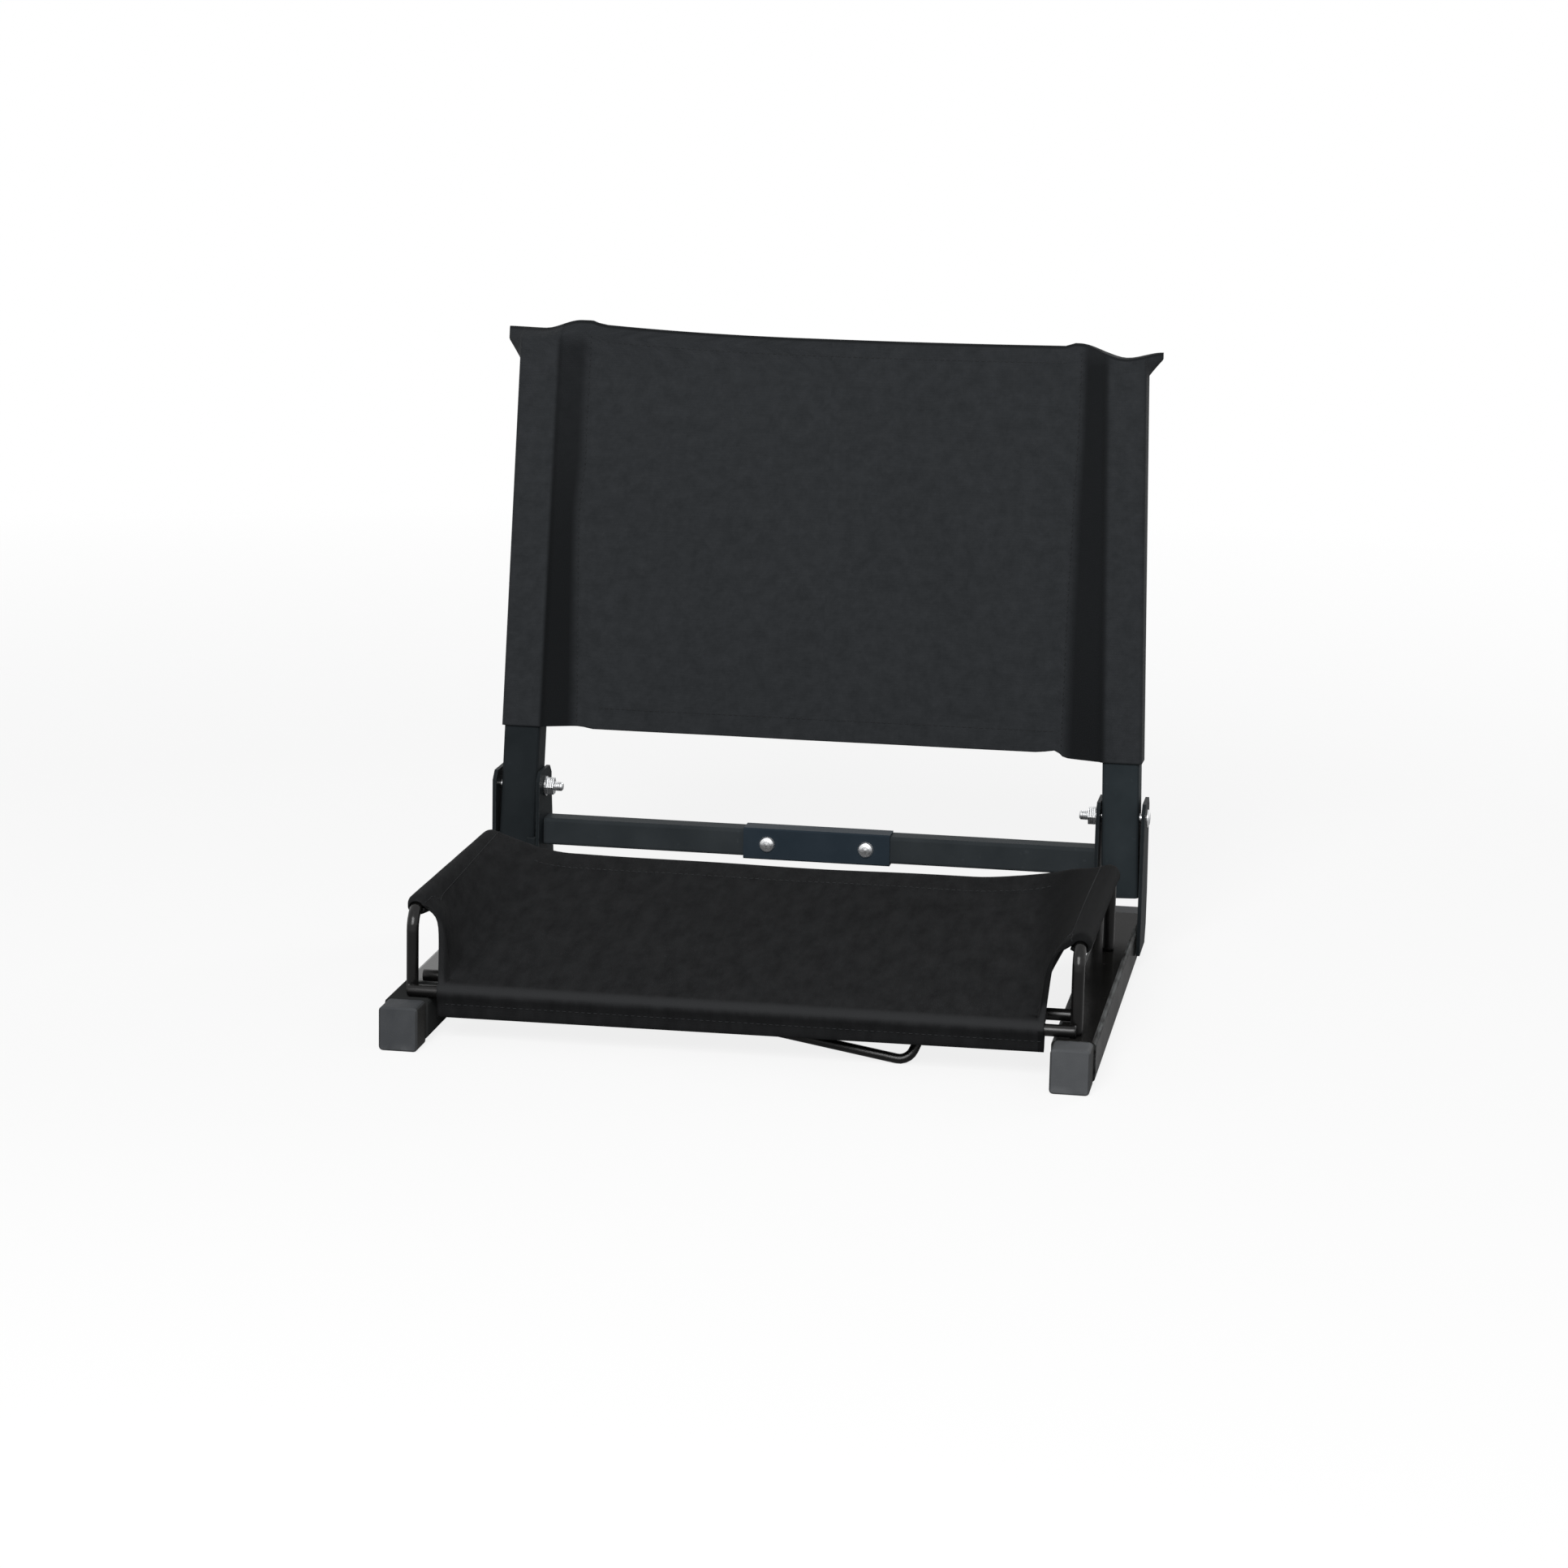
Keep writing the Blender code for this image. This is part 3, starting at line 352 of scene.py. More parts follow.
EAR_TO = {LEFT: 0.69, RIGHT: 0.82}
EAR_CURVE = 1.1
HEM_STEP = {LEFT: 0.0015, RIGHT: -0.0030}    # of the lower hem at a seam
HEM_STEP_FROM = 0.164
HEM_LIFT = {LEFT: 0.0, RIGHT: 0.0018}        # of the lower hem beside a seam
HEM_LIFT_AT = 0.162
HEM_TURN = 0.006           # width of both
SEAMS = {LEFT: [(0.042, 0.1750), (0.190, 0.1765), (0.235, 0.1727), (0.323, 0.1705)],
         RIGHT: [(0.042, 0.1693), (0.120, 0.1697), (0.200, 0.1710), (0.270, 0.1728), (0.323, 0.1728)]}
SEAM_STRIP = 0.0028        # of the panel beside a seam
SEAM_FOOT = 0.0008         # where its shade starts
SEAM_SHADES = (0.25, 0.7)  # before the seam and just after it
RIPPLE_EDGE = 0.03         # width beside a seam over which the ripples ease out
DART_REACH = {LEFT: 0.0030, RIGHT: 0.0052}   # of a dart's shade over the tunnel's face
DART_FULL = 0.3            # share of that reach in full shade
DART_PALER = {LEFT: (0.40, 0.13, 0.17), RIGHT: (0.12, 0.05, 0.10)}   # by how much, from where, over what
DART_TOP = 0.3065
DART_FADE = 0.010
DART_TOP_PALER = {LEFT: 0.9, RIGHT: 0.35}
EDGE_SHADE = 0.75
TOP_SHADE_WIDTH = 0.0023
TOP_SHADE_SOFTNESS = 0.0007
HEM_FOLD = 0.0012
PANEL_STEPS = 26
DART_STEPS = 9
CORNER_STEPS = 4
FLANK_STEPS = 5
FACE_POINTS = (0.0032, 0.0043, 0.0054, 0.0066, 0.0100, 0.0140, 0.0180, 0.0220)   # closest by the dart
HEM_SHARES = (0.0, 0.002, 0.005, 0.02)       # extra rounds at the hem's fold
TOP_SHARES = (0.08, 0.16, 0.24, 0.32, 0.40, 0.48, 0.55, 0.61, 0.66, 0.71,
              0.76, 0.80, 0.84, 0.87, 0.90, 0.925, 0.95, 0.97, 0.985, 1.0)
TOP_CLOTH = 0.29           # where the shut top lies on the cloth
BACK_CLOTH = 0.001
THREADS = 0.0011           # the weave's pitch


def woven(name, dark, light, shine, grain, drawn=1.0, sheen=0.04):
    """Plain-woven polyester: warp and weft pass over and under each other, in metres of cloth.

    The mesh's in_shade value says how far it lies in painted shade or, below zero, how much painted light
    makes it paler.
    """
    made, place = new_finish(name, {
        "Specular IOR Level": shine, "Sheen Weight": sheen, "Sheen Roughness": 0.4})
    cloth = place.node("ShaderNodeTexCoord", out="UV")
    warp = (cloth.axis(0) * (math.pi / THREADS)).maths("SINE")
    weft = (cloth.axis(1) * (math.pi / THREADS)).maths("SINE")
    warp_over = (warp * weft).within(-0.2, 0.2)
    thread = warp_over * abs(warp) + (1 - warp_over) * abs(weft)
    slubs = cloudy(cloth.stretched(60.0, 900.0, 1.0), scale=1.0)
    faded = cloudy(place, scale=22.0, detail=4.0)
    spread = cloth.stretched(1.0, drawn, 1.0)
    mottle = cloudy(spread, scale=330.0, detail=3.0)
    blotch = cloudy(spread, scale=105.0, detail=3.0)
    # The thread term paints shade between the weave's threads and light on their crowns.
    tone = 0.25 * thread + 0.30 * slubs + 0.35 * faded + 0.60 * (mottle - 0.35) + grain * (blotch - 0.5)
    shade = place.node("ShaderNodeAttribute", {"attribute_name": "in_shade"}, out="Fac")
    # Below zero, in_shade paints light: a paler painted highlight.
    painted_light = (0.0 - shade).within(0.0, 1.0)
    lit = between(painted_light, between(tone.within(0.05, 0.95), dark, light), [1.5 * c for c in light])
    return lay(made, {
        "Base Color": between(shade.within(0.0, 1.0), lit, [0.5 * c for c in dark]),
        "Roughness": 0.74 + 0.2 * thread,
        "Normal": relief(thread + 0.5 * slubs, depth=0.00022, strength=0.45)})


def sewn_sheet(rows, shades, closed=False, middle=0):
    """A sheet's mesh from rows of points. Its UV is metres of cloth, from one point of each row."""
    bm = bmesh.new()
    uv = bm.loops.layers.uv.new("cloth")
    shade_layer = bm.verts.layers.float.new("in_shade")
    grid, across = [], []
    for row, tones in zip(rows, shades):
        verts, along = [], [0.0]
        for point, tone in zip(row, tones):
            if verts:
                along.append(along[-1] + (point - verts[-1].co).length)
            verts.append(bm.verts.new(point))
            verts[-1][shade_layer] = tone
        if closed:
            along.append(along[-1] + (verts[0].co - verts[-1].co).length)
        grid.append(verts)
        across.append([a - along[middle] for a in along])
    down = [0.0]
    for one, two in zip(rows, rows[1:]):
        down.append(down[-1] + (two[middle] - one[middle]).length)
    count = len(grid[0])
    for r in range(len(grid) - 1):
        for k in range(count if closed else count - 1):
            n = (k + 1) % count
            face = bm.faces.new((grid[r][k], grid[r][n], grid[r + 1][n], grid[r + 1][k]))
            face.smooth = True
            on_cloth = ((across[r][k], down[r]), (across[r][k + 1], down[r]),
                        (across[r + 1][k + 1], down[r + 1]), (across[r + 1][k], down[r + 1]))
            for loop, place in zip(face.loops, on_cloth):
                loop[uv].uv = place
    return bm, grid, uv


def piece_of(name, bm, finish):
    """Make a piece of a mesh, in one finish."""
    mesh = bpy.data.meshes.new(name)
    bm.to_mesh(mesh)
    bm.free()
    mesh.materials.append(finish)
    piece = bpy.data.objects.new(name, mesh)
    bpy.context.scene.collection.objects.link(piece)
    return piece


def hang(name, bm, finish, thickness, offset):
    """Make a piece of a sheet's mesh and give it the cloth's thickness."""
    bmesh.ops.recalc_face_normals(bm, faces=bm.faces)
    piece = piece_of(name, bm, finish)
    thick = piece.modifiers.new("cloth", "SOLIDIFY")
    thick.thickness = thickness
    thick.offset = offset
    return piece


def on_back(x, y, z):
    """A point of the reclined back, whose own origin is on the pivot bolts."""
    return Vector((x, PIVOT_Y + y * math.cos(RECLINE) + z * math.sin(RECLINE),
                   PIVOT_Z - y * math.sin(RECLINE) + z * math.cos(RECLINE)))


def clamped(x):
    return min(max(x, 0.0), 1.0)


def ease(x):
    """0 below 0, 1 above 1 and a soft rise between them."""
    x = clamped(x)
    return x * x * (3 - 2 * x)


def along_line(stops, x):
    """Read a line of (place, value) stops at one place, eased between them."""
    for (x0, v0), (x1, v1) in zip(stops, stops[1:]):
        if x <= x1:
            return v0 + (v1 - v0) * ease((x - x0) / (x1 - x0))
    return stops[-1][1]


def side_of(x):
    return RIGHT if x > 0 else LEFT


def tunnel_middle(z):
    return SIDE - UPRIGHT_INSET - z * math.tan(LEAN)


def seam_at(x, z):
    """How far from the middle the seam on this side lies at one height."""
    return along_line(SEAMS[side_of(x)], z)


def top_edge(x):
    """Height of the sewn top edge, which peaks at the seams and dips over the tubes and in the middle."""
    side = side_of(x)
    out = abs(x)
    if out < PANEL_FLANK:
        risen = max((out - PANEL_LEVEL) / (PANEL_FLANK - PANEL_LEVEL), 0.0) ** 2
        return PANEL_TOP + PANEL_RISE[side] * risen
    tube = tunnel_middle(PANEL_TOP)
    return along_line([(PANEL_FLANK, PANEL_TOP + PANEL_RISE[side]), (PEAK_FROM[side], PEAK[side]),
                       (PEAK_TO[side], PEAK[side]), (tube, OVER_TUBE[side]),
                       (tube + TUNNEL_HALF + EAR_OUT[side], EAR_TIP[side])], out)


def lower_edge(x):
    """Height of the lower hem, which steps at each seam and is lifted beside the right one."""
    side = side_of(x)
    lifted = HEM_LIFT[side] * math.exp(-((abs(x) - HEM_LIFT_AT) / HEM_TURN) ** 2)
    return HEM + lifted + HEM_STEP[side] * ease((abs(x) - HEM_STEP_FROM) / HEM_TURN)


def ripple(x, z):
    """Shallow waves of the panel, which the seams hold flat."""
    broad = 0.0005 * math.sin(31 * x + 4) * math.sin(17 * z + 2)
    slanted = 0.0003 * math.sin(57 * x - 23 * z)
    return (broad + slanted) * ease((seam_at(x, z) - abs(x)) / RIPPLE_EDGE)


def panel_half(t):
    return CLOTH_HALF + TOP_FULLNESS * t


def half_round(side, q, t):
    """One side of a round: out along the panel, dart and tunnel, and back behind them, as (x, y, shade)."""
    low = lower_edge(side * SIDE)
    level = low + (SHOULDER - low) * q + (OVER_TUBE[side] - SHOULDER) * t
    tube = tunnel_middle(level)
    roof = (CAP_TOP - SHOULDER) / (OVER_TUBE[side] - SHOULDER)
    closing = clamped((t - roof) / (1 - roof))
    deep = TUNNEL_HALF + (SHUT_HALF - TUNNEL_HALF) * closing ** SHUT_CURVE
    ear = EAR_OUT[side] * clamped((t - EAR_FROM[side]) / (EAR_TO[side] - EAR_FROM[side])) ** EAR_CURVE
    outer = OUTER_BEND * deep / TUNNEL_HALF
    inner = INNER_BEND * deep / TUNNEL_HALF
    half = panel_half(t)
    sewn = seam_at(side, level)
    panel = [(sewn * k / PANEL_STEPS, -half, 0.0) for k in range(1, PANEL_STEPS)]
    panel += [(sewn - SEAM_STRIP, -half, 0.0), (sewn - SEAM_FOOT, -half * 1.02, SEAM_SHADES[0])]
    seam = Vector((sewn, -half))
    corner = Vector((tube - TUNNEL_HALF, inner - deep))
    dart = []
    for k in range(1, DART_STEPS + 1):
        p = seam.lerp(corner, k / DART_STEPS)
        dart.append((p.x, p.y, 1.0 if k > 1 else SEAM_SHADES[1]))
    rounded = [(0.30 * inner, 0.29 * inner), (inner, 0.0)] + [(d, 0.0) for d in FACE_POINTS]
    face = []
    for d, lift in rounded:
        shaded = 1 - ease((d / DART_REACH[side] - DART_FULL) / (1 - DART_FULL))
        face.append((tube - TUNNEL_HALF + d, lift - deep, shaded))
    for k in range(CORNER_STEPS + 1):
        angle = math.pi / 2 * k / CORNER_STEPS
        face.append((tube + TUNNEL_HALF - outer + outer * math.sin(angle),
                     -deep + outer - outer * math.cos(angle), 0.0))
    edge = Vector(face[-1][:2])
    tip = Vector((tube + TUNNEL_HALF + ear, -min(half, deep * 0.6)))
    flank = []
    for k in range(1, FLANK_STEPS + 1):
        p = edge.lerp(tip, k / FLANK_STEPS)
        flank.append((p.x, p.y, 0.0))
    front = panel + dart + face + flank
    whole = front + [(x, -y, shade) for x, y, shade in reversed(front)]
    return [(side * x, y, shade) for x, y, shade in whole]


def dart_shade(x, z, shade):
    """What is left of a dart's shade, which pales towards the top."""
    side = side_of(x)
    most, start, over = DART_PALER[side]
    paler = most * ease((z - start) / over)
    faded = DART_TOP_PALER[side] * ease((z - DART_TOP) / DART_FADE)
    return shade * (1 - paler) * (1 - faded)


def cover_loop(q, t):
    """One round of the cover: q runs from the lower hem up to the shoulders, t from there to the top."""
    half = panel_half(t)
    loop = [(0.0, -half, 0.0)] + half_round(RIGHT, q, t) + [(0.0, half, 0.0)]
    loop += reversed(half_round(LEFT, q, t))
    points, shades = [], []
    for x, y, shade in loop:
        low = lower_edge(x)
        high = top_edge(x)
        z = low + (SHOULDER - low) * q + (high - SHOULDER) * t
        points.append(on_back(x, y + ripple(x, z), z))
        # Painted shade along the sewn top edge and over the lower hem's fold.
        top_shade = EDGE_SHADE * ease((z - high + TOP_SHADE_WIDTH) / TOP_SHADE_SOFTNESS)
        turned = EDGE_SHADE * (1 - ease((z - low) / HEM_FOLD))
        shades.append(min(max(dart_shade(x, z, shade), top_shade, turned), 1.0))
    return points, shades


heights = [(q, 0.0) for q in HEM_SHARES] + [(k / PANEL_STEPS, 0.0) for k in range(1, PANEL_STEPS + 1)]
heights += [(1.0, t) for t in TOP_SHARES]
rounds = [cover_loop(q, t) for q, t in heights]
back_weave = woven("back_cloth_weave", dark=(0.0180, 0.0199, 0.0218), light=(0.0304, 0.0329, 0.0360),
                   shine=0.08, grain=1.15)
bm, grid, uv = sewn_sheet([r[0] for r in rounds], [r[1] for r in rounds], closed=True)
# The top is sewn shut, each point of the front layer to the one behind it.
top = grid[-1]
span = len(top) // 2 - 1
for k in range(span // 2):
    for corners in ((k, k + 1, span - k, span + 1 - k), (-k, -k - 1, span + 2 + k, span + 1 + k)):
        face = bm.faces.new([top[c] for c in corners])
        for loop in face.loops:
            loop[uv].uv = (loop.vert.co.x, TOP_CLOTH + loop.vert.co.y)
back_cloth = hang("back_cloth", bm, back_weave, thickness=BACK_CLOTH, offset=-1.0)
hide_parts("back_sling")
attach(back_cloth, "back")


# Stitching of the back sling: lockstitch in black thread along both seams, the hem and the top edge.
# Each stitch is a short length of thread pulled down into the cloth at its ends.
STITCH_PITCH = 0.0040
STITCH_LENGTH = 0.0029
THREAD = 0.00052
THREAD_SIDES = 6
STITCH_RINGS = ((-0.5, 0.45, -0.3), (-0.28, 1.0, 0.45), (0.28, 1.0, 0.45), (0.5, 0.45, -0.3))
SEAM_STITCH = 0.0020       # from a seam to its stitches
SEAM_STITCH_STEPS = 40
HEM_STITCH = 0.0150        # above the lower edge
TOP_STITCH = 0.0115        # below the top edge
FIRST_STITCH = HEM + 0.002
LAST_STITCH = PANEL_TOP - 0.003
HEM_STITCH_STEP = 0.008
HEM_STITCH_STEPS = 20      # to each side of the middle
TOP_RAISED = 0.0002        # stitches stand higher on the fuller top
TOP_RAISED_OVER = 0.02


def sewing_thread():
    made, place = new_finish("black_sewing_thread", {"Specular IOR Level": 0.2})
    ply = cloudy(place, scale=2200.0)
    return lay(made, {
        "Base Color": between(ply, (0.010, 0.011, 0.012), (0.022, 0.024, 0.026)),
        "Roughness": 0.5 + 0.2 * ply,
        "Normal": relief(ply, depth=0.0001, strength=0.4)})


def add_stitch(bm, middle, along, out):
    """One stitch: rings of points at places along it, with their widths and lifts."""
    across = out.cross(along)
    rings = []
    for place, width, lift in STITCH_RINGS:
        centre = middle + along * place * STITCH_LENGTH + out * lift * THREAD
        ring = []
        for k in range(THREAD_SIDES):
            angle = 2 * math.pi / THREAD_SIDES * k
            spoke = across * math.cos(angle) + out * math.sin(angle)
            ring.append(bm.verts.new(centre + spoke * width * THREAD / 2))
        rings.append(ring)
    for one, two in zip(rings, rings[1:]):
        for k in range(THREAD_SIDES):
            n = (k + 1) % THREAD_SIDES
            bm.faces.new((one[k], one[n], two[n], two[k])).smooth = True
    bm.faces.new(list(reversed(rings[0])))
    bm.faces.new(rings[-1])


def stitched(name, lines, finish):
    """Rows of stitches along lines of (point, outward direction)."""
    bm = bmesh.new()
    for line in lines:
        reach, at = 0.0, STITCH_PITCH
        for (p0, n0), (p1, n1) in zip(line, line[1:]):
            step = (p1 - p0).length
            while step > 0 and at <= reach + step:
                share = (at - reach) / step
                out = n0.lerp(n1, share).normalized()
                add_stitch(bm, p0.lerp(p1, share), (p1 - p0).normalized(), out)
                at += STITCH_PITCH
            reach += step
    return piece_of(name, bm, finish)


def panel_line(places, face):
    """A line of stitches through places on the panel, in its own (x, z), on the front or the rear face."""
    turn = on_back(0.0, face, 0.0) - on_back(0.0, 0.0, 0.0)
    line = []
    for x, z in places:
        raised = CLOTH_HALF + TOP_RAISED * ease((z - SHOULDER) / TOP_RAISED_OVER)
        line.append((on_back(x, face * raised + ripple(x, z), z), turn))
    return line


levels = [FIRST_STITCH + (LAST_STITCH - FIRST_STITCH) * k / SEAM_STITCH_STEPS
          for k in range(SEAM_STITCH_STEPS + 1)]
columns = [HEM_STITCH_STEP * k for k in range(-HEM_STITCH_STEPS, HEM_STITCH_STEPS + 1)]
lines = []
for face in (-1, 1):
    for side in (LEFT, RIGHT):
        lines.append(panel_line([(side * (seam_at(side, z) - SEAM_STITCH), z) for z in levels], face))
    lines.append(panel_line([(x, HEM + HEM_STITCH) for x in columns], face))
    lines.append(panel_line([(x, top_edge(x) - TOP_STITCH) for x in columns], face))
black_thread = sewing_thread()
back_stitching = stitched("back_stitching", lines, black_thread)
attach(back_stitching, "back")


# Seat sling: one sheet of the same woven polyester, a shade darker, sewn in a sleeve round each side bar.
# It is slung flat from its rear edge down to the front rod, folds up at the sides to the level bars,
# and ends in a hem that is rolled round the rod and sewn shut under it. Here y is from the pivot bolts.
ROD = 0.0079375            # 5/16 in bar
BAR_BEND = 0.014
BAR_HEIGHT = 0.0836
LEGS_FRONT = 0.305
LEGS_REAR = 0.0815
RAIL_TOP = 0.0286
FIT_GAP = 0.0003
FRONT_ROD = (-LEGS_FRONT - ROD - FIT_GAP, RAIL_TOP + FIT_GAP + ROD / 2)
SEAT_CLOTH = 0.0011
SEAT_HALF = 0.0006         # half the cloth, with a little air
SLEEVE_SLACK = 0.0018
ROLL_SLACK = 0.0005
SLEEVE = ROD / 2 + SLEEVE_SLACK + SEAT_HALF
ROLL = ROD / 2 + ROLL_SLACK + SEAT_HALF
SLEEVE_TURN = math.radians(30)   # how far the sleeves follow the bars' rear bends
NOSE_TURN = math.radians(22)     # and their front bends
NOSE_TIGHTER = 0.0014
NOSE_NARROWER = 0.0035
NOSE_SHARE = 0.25          # of the way from the last row to the rod
SEAT_REAR = (-0.105, 0.0795)
LAST_ROW = -0.2940         # where the sheet starts to leave the sleeves
SAG_REAR = 0.0010
SAG_FRONT = 0.0003
FOLD_REAR = 0.1660
FOLD_FRONT = 0.1885
FOLD_SOFTNESS = 0.35
STEEP_FROM = 0.262         # so far in front of the bolts the fold starts to hang steeply
STEEP_OVER = 0.030
STEEP_SHARE = 0.55
STEEP_CURVE = 8
RIGHT_PULL = 0.0030        # the rear right corner is drawn up beside its sleeve
PULL_FROM = 0.122
PULL_IN = 0.045
PULL_TO = 0.205
PULL_OUT = 0.020
CORNER = (0.190, -0.300)   # where the front corners' pulls fan out from
FAN_REACH = 0.050
FAN_WIDTH = 0.035
WAVES_GROW = 0.05          # length behind the corners over which the waves grow
WAVES_TO = 0.182           # how far from the middle they reach
WAVES_EDGE = 0.02
FREE_EDGE = 0.1962         # the cut corner's edge, between bar and rod
FREE_TUCK = 8
FREE_DROP = 1.2
FRONT_PAINTED_LIGHT = -0.8        # painted light makes the sheet paler in its last rows before the rod
PAINTED_LIGHT_FROM = 9
PAINTED_LIGHT_OVER = 4
ROLL_LEAD = math.radians(190)
ROLL_END = math.radians(205)
ROLL_TONES = (-0.85, -0.9, -0.9, -0.9, -0.8, -0.4, 0.0, 0.3, 0.45)   # painted highlight above, painted shade below
HEM_HALF = 0.1925
HEM_DROP = ((-0.0024, -0.0068), (-0.0017, -0.0130), (0.0, -0.0149), (0.0017, -0.0130), (0.0024, -0.0068))
HEM_BEHIND = (-25, 10, 50)                   # degrees round the rod, behind it
RETURN_AT = (-0.3034, -0.2980, -0.2960)
HEM_RETURN = 0.0019        # turned-in cloth under the seat
HEM_SLANT = 0.0010         # the hanging hem's right end is so much higher than its middle
SLANT_FROM = 0.006         # below the rod's middle
SLANT_OVER = 0.008
HEM_SHADE = 0.40
SEAM_INSET = 0.0060
SEAM_UNDER = 0.0015
SLEEVE_SHADE = 0.7
FOLD_SHADE = 0.80          # the right fold lies in shade
FOLD_SHADE_OVER = 9
FOLD_POINTS = 16
FLAT_STEPS = 26
SEAM_POINTS = 3
TURN_POINTS = 18
RING = SEAM_POINTS + TURN_POINTS
BEND_STEPS = 5
BAR_STEPS = 34
NOSE_STEPS = 4
FRONT_STEPS = 12
HEM_STEPS = 4
NOSE_START = -LEGS_FRONT + BAR_BEND
REAR_START = -LEGS_REAR - BAR_BEND
BEND_MIDDLE = BAR_HEIGHT - BAR_BEND


def on_rod(angle):
    """A point of the hem's roll round the front rod."""
    return FRONT_ROD[0] + ROLL * math.cos(angle), FRONT_ROD[1] + ROLL * math.sin(angle)


run = SEAT_REAR[0] - FRONT_ROD[0]
fall = SEAT_REAR[1] - FRONT_ROD[1]
ROLL_START = math.atan2(fall, run) + math.acos(ROLL / math.hypot(run, fall))
ROD_TOP = on_rod(ROLL_START)


def seat_level(y):
    """Height of the seat's plane, which runs onto the front rod's top."""
    return ROD_TOP[1] + (SEAT_REAR[1] - ROD_TOP[1]) * (y - ROD_TOP[0]) / (SEAT_REAR[0] - ROD_TOP[0])


def up_fold(u):
    """Share of the way up a side fold, eased in at its foot."""
    if u > FOLD_SOFTNESS:
        return u
    return max(u + FOLD_SOFTNESS, 0.0) ** 2 / (4 * FOLD_SOFTNESS)


def slack(x, y):
    """Shallow waves of the sheet, and pulls that fan out from its front corners."""
    broad = 0.00040 * math.sin(24 * x + 1.3) * math.sin(31 * y + 0.4)
    slanted = 0.00022 * math.sin(47 * x - 38 * y)
    inward = CORNER[0] - abs(x)
    backward = y - CORNER[1]
    spoke = math.atan2(backward, inward)
    fan = math.exp(-((math.hypot(inward, backward) - FAN_REACH) / FAN_WIDTH) ** 2)
    pull = 0.00045 * math.sin(13 * spoke + (1.0 if x > 0 else 2.2)) * fan
    return (broad + slanted + pull) * ease(backward / WAVES_GROW) * ease((WAVES_TO - abs(x)) / WAVES_EDGE)


def seat_row(y, z, fold, edge, sag):
    """Points across the sheet: up a fold at each side to its edge, and flat between the folds.

    Towards the front the fold hangs steeply and turns in to the bar only at its top.
    """
    steep = ease((-y - STEEP_FROM) / STEEP_OVER)
    half = []
    for k in range(FOLD_POINTS):
        u = 1.0 - (1.0 + FOLD_SOFTNESS) * k / (FOLD_POINTS - 1)
        x = fold + (edge[0] - fold) * (u + STEEP_SHARE * steep * (max(u, 0.0) ** STEEP_CURVE - u))
        dip = sag * (1 - min(x / fold, 1.0) ** 2)
        half.append((x, y + (edge[1] - y) * up_fold(u), z + (edge[2] - z) * up_fold(u) - dip))
    inner = half[-1][0]
    flat = []
    for k in range(1 - FLAT_STEPS, FLAT_STEPS):
        x = inner * k / FLAT_STEPS
        waves = slack(x, y) if y > LAST_ROW else 0.0
        flat.append((x, y, z - sag * (1 - (x / fold) ** 2) + waves))
    return [(-x, y, z) for x, y, z in half] + flat + list(reversed(half))


def on_bend(start, turn):
    """A place on a side bar's bend, and how far it has turned."""
    return start + BAR_BEND * math.sin(turn), BEND_MIDDLE + BAR_BEND * math.cos(turn), turn


def sleeve_row(bar, y, fold, sag, tight=0.0):
    """A row over both bars: from the seam under the sheet round the bar, down the fold and across."""
    bar_y, bar_z, turn = bar
    loose = SLEEVE - NOSE_TIGHTER * tight
    foot = Vector((fold - SIDE, seat_level(y) - bar_z))
    angle = math.atan2(foot.y, foot.x) + 2 * math.pi - math.acos(loose / foot.length)
    out = Vector((math.cos(angle), math.sin(angle)))
    down = (foot - out * loose).normalized()
    seam = out * (loose - SEAM_UNDER) + down * (SEAM_INSET - NOSE_NARROWER * tight)
    under = math.atan2(seam.y, seam.x) + math.acos(min(loose / seam.length, 1.0))
    if seam.y >= 0:
        under -= 2 * math.pi
    turns = [under + (angle - under) * k / TURN_POINTS for k in range(TURN_POINTS)]
    ring = [Vector((math.cos(a), math.sin(a))) * loose for a in turns]
    ring = [seam.lerp(ring[0], k / SEAM_POINTS) for k in range(SEAM_POINTS)] + ring + [out * loose]
    around = [(SIDE + p.x, bar_y + p.y * math.sin(turn), bar_z + p.y * math.cos(turn)) for p in ring]
    edge = around.pop()
    row = seat_row(y, seat_level(y), fold, edge, sag)
    return [(-x, y, z) for x, y, z in around] + row + list(reversed(around)), edge


def by_right_sleeve(x):
    """1 along the right sleeve, eased to 0 at both sides."""
    return ease((x - PULL_FROM) / PULL_IN) * ease((PULL_TO - x) / PULL_OUT)


def curve_through(before, here, after, beyond, t):
    """A place between the middle two of four points, on a smooth curve through them."""
    return [0.5 * (2 * b + (c - a) * t + (2 * a - 5 * b + 4 * c - d) * t * t
                   + (3 * b - a - 3 * c + d) * t ** 3)
            for a, b, c, d in zip(before, here, after, beyond)]


bars = [on_bend(REAR_START, SLEEVE_TURN * k / BEND_STEPS) for k in range(BEND_STEPS, 0, -1)]
bars += [(REAR_START + (NOSE_START - REAR_START) * k / BAR_STEPS, BAR_HEIGHT, 0.0)
         for k in range(BAR_STEPS + 1)]
rows = []
for bar in bars:
    share = (bar[0] - bars[0][0]) / (bars[-1][0] - bars[0][0])
    y = SEAT_REAR[0] + (LAST_ROW - SEAT_REAR[0]) * share
    fold = FOLD_REAR + (FOLD_FRONT - FOLD_REAR) * share
    row, edge = sleeve_row(bar, y, fold, SAG_REAR + (SAG_FRONT - SAG_REAR) * share)
    pull = RIGHT_PULL * (1 - share) ** 3
    rows.append([Vector((x, PIVOT_Y + y, z + pull * by_right_sleeve(x))) for x, y, z in row])
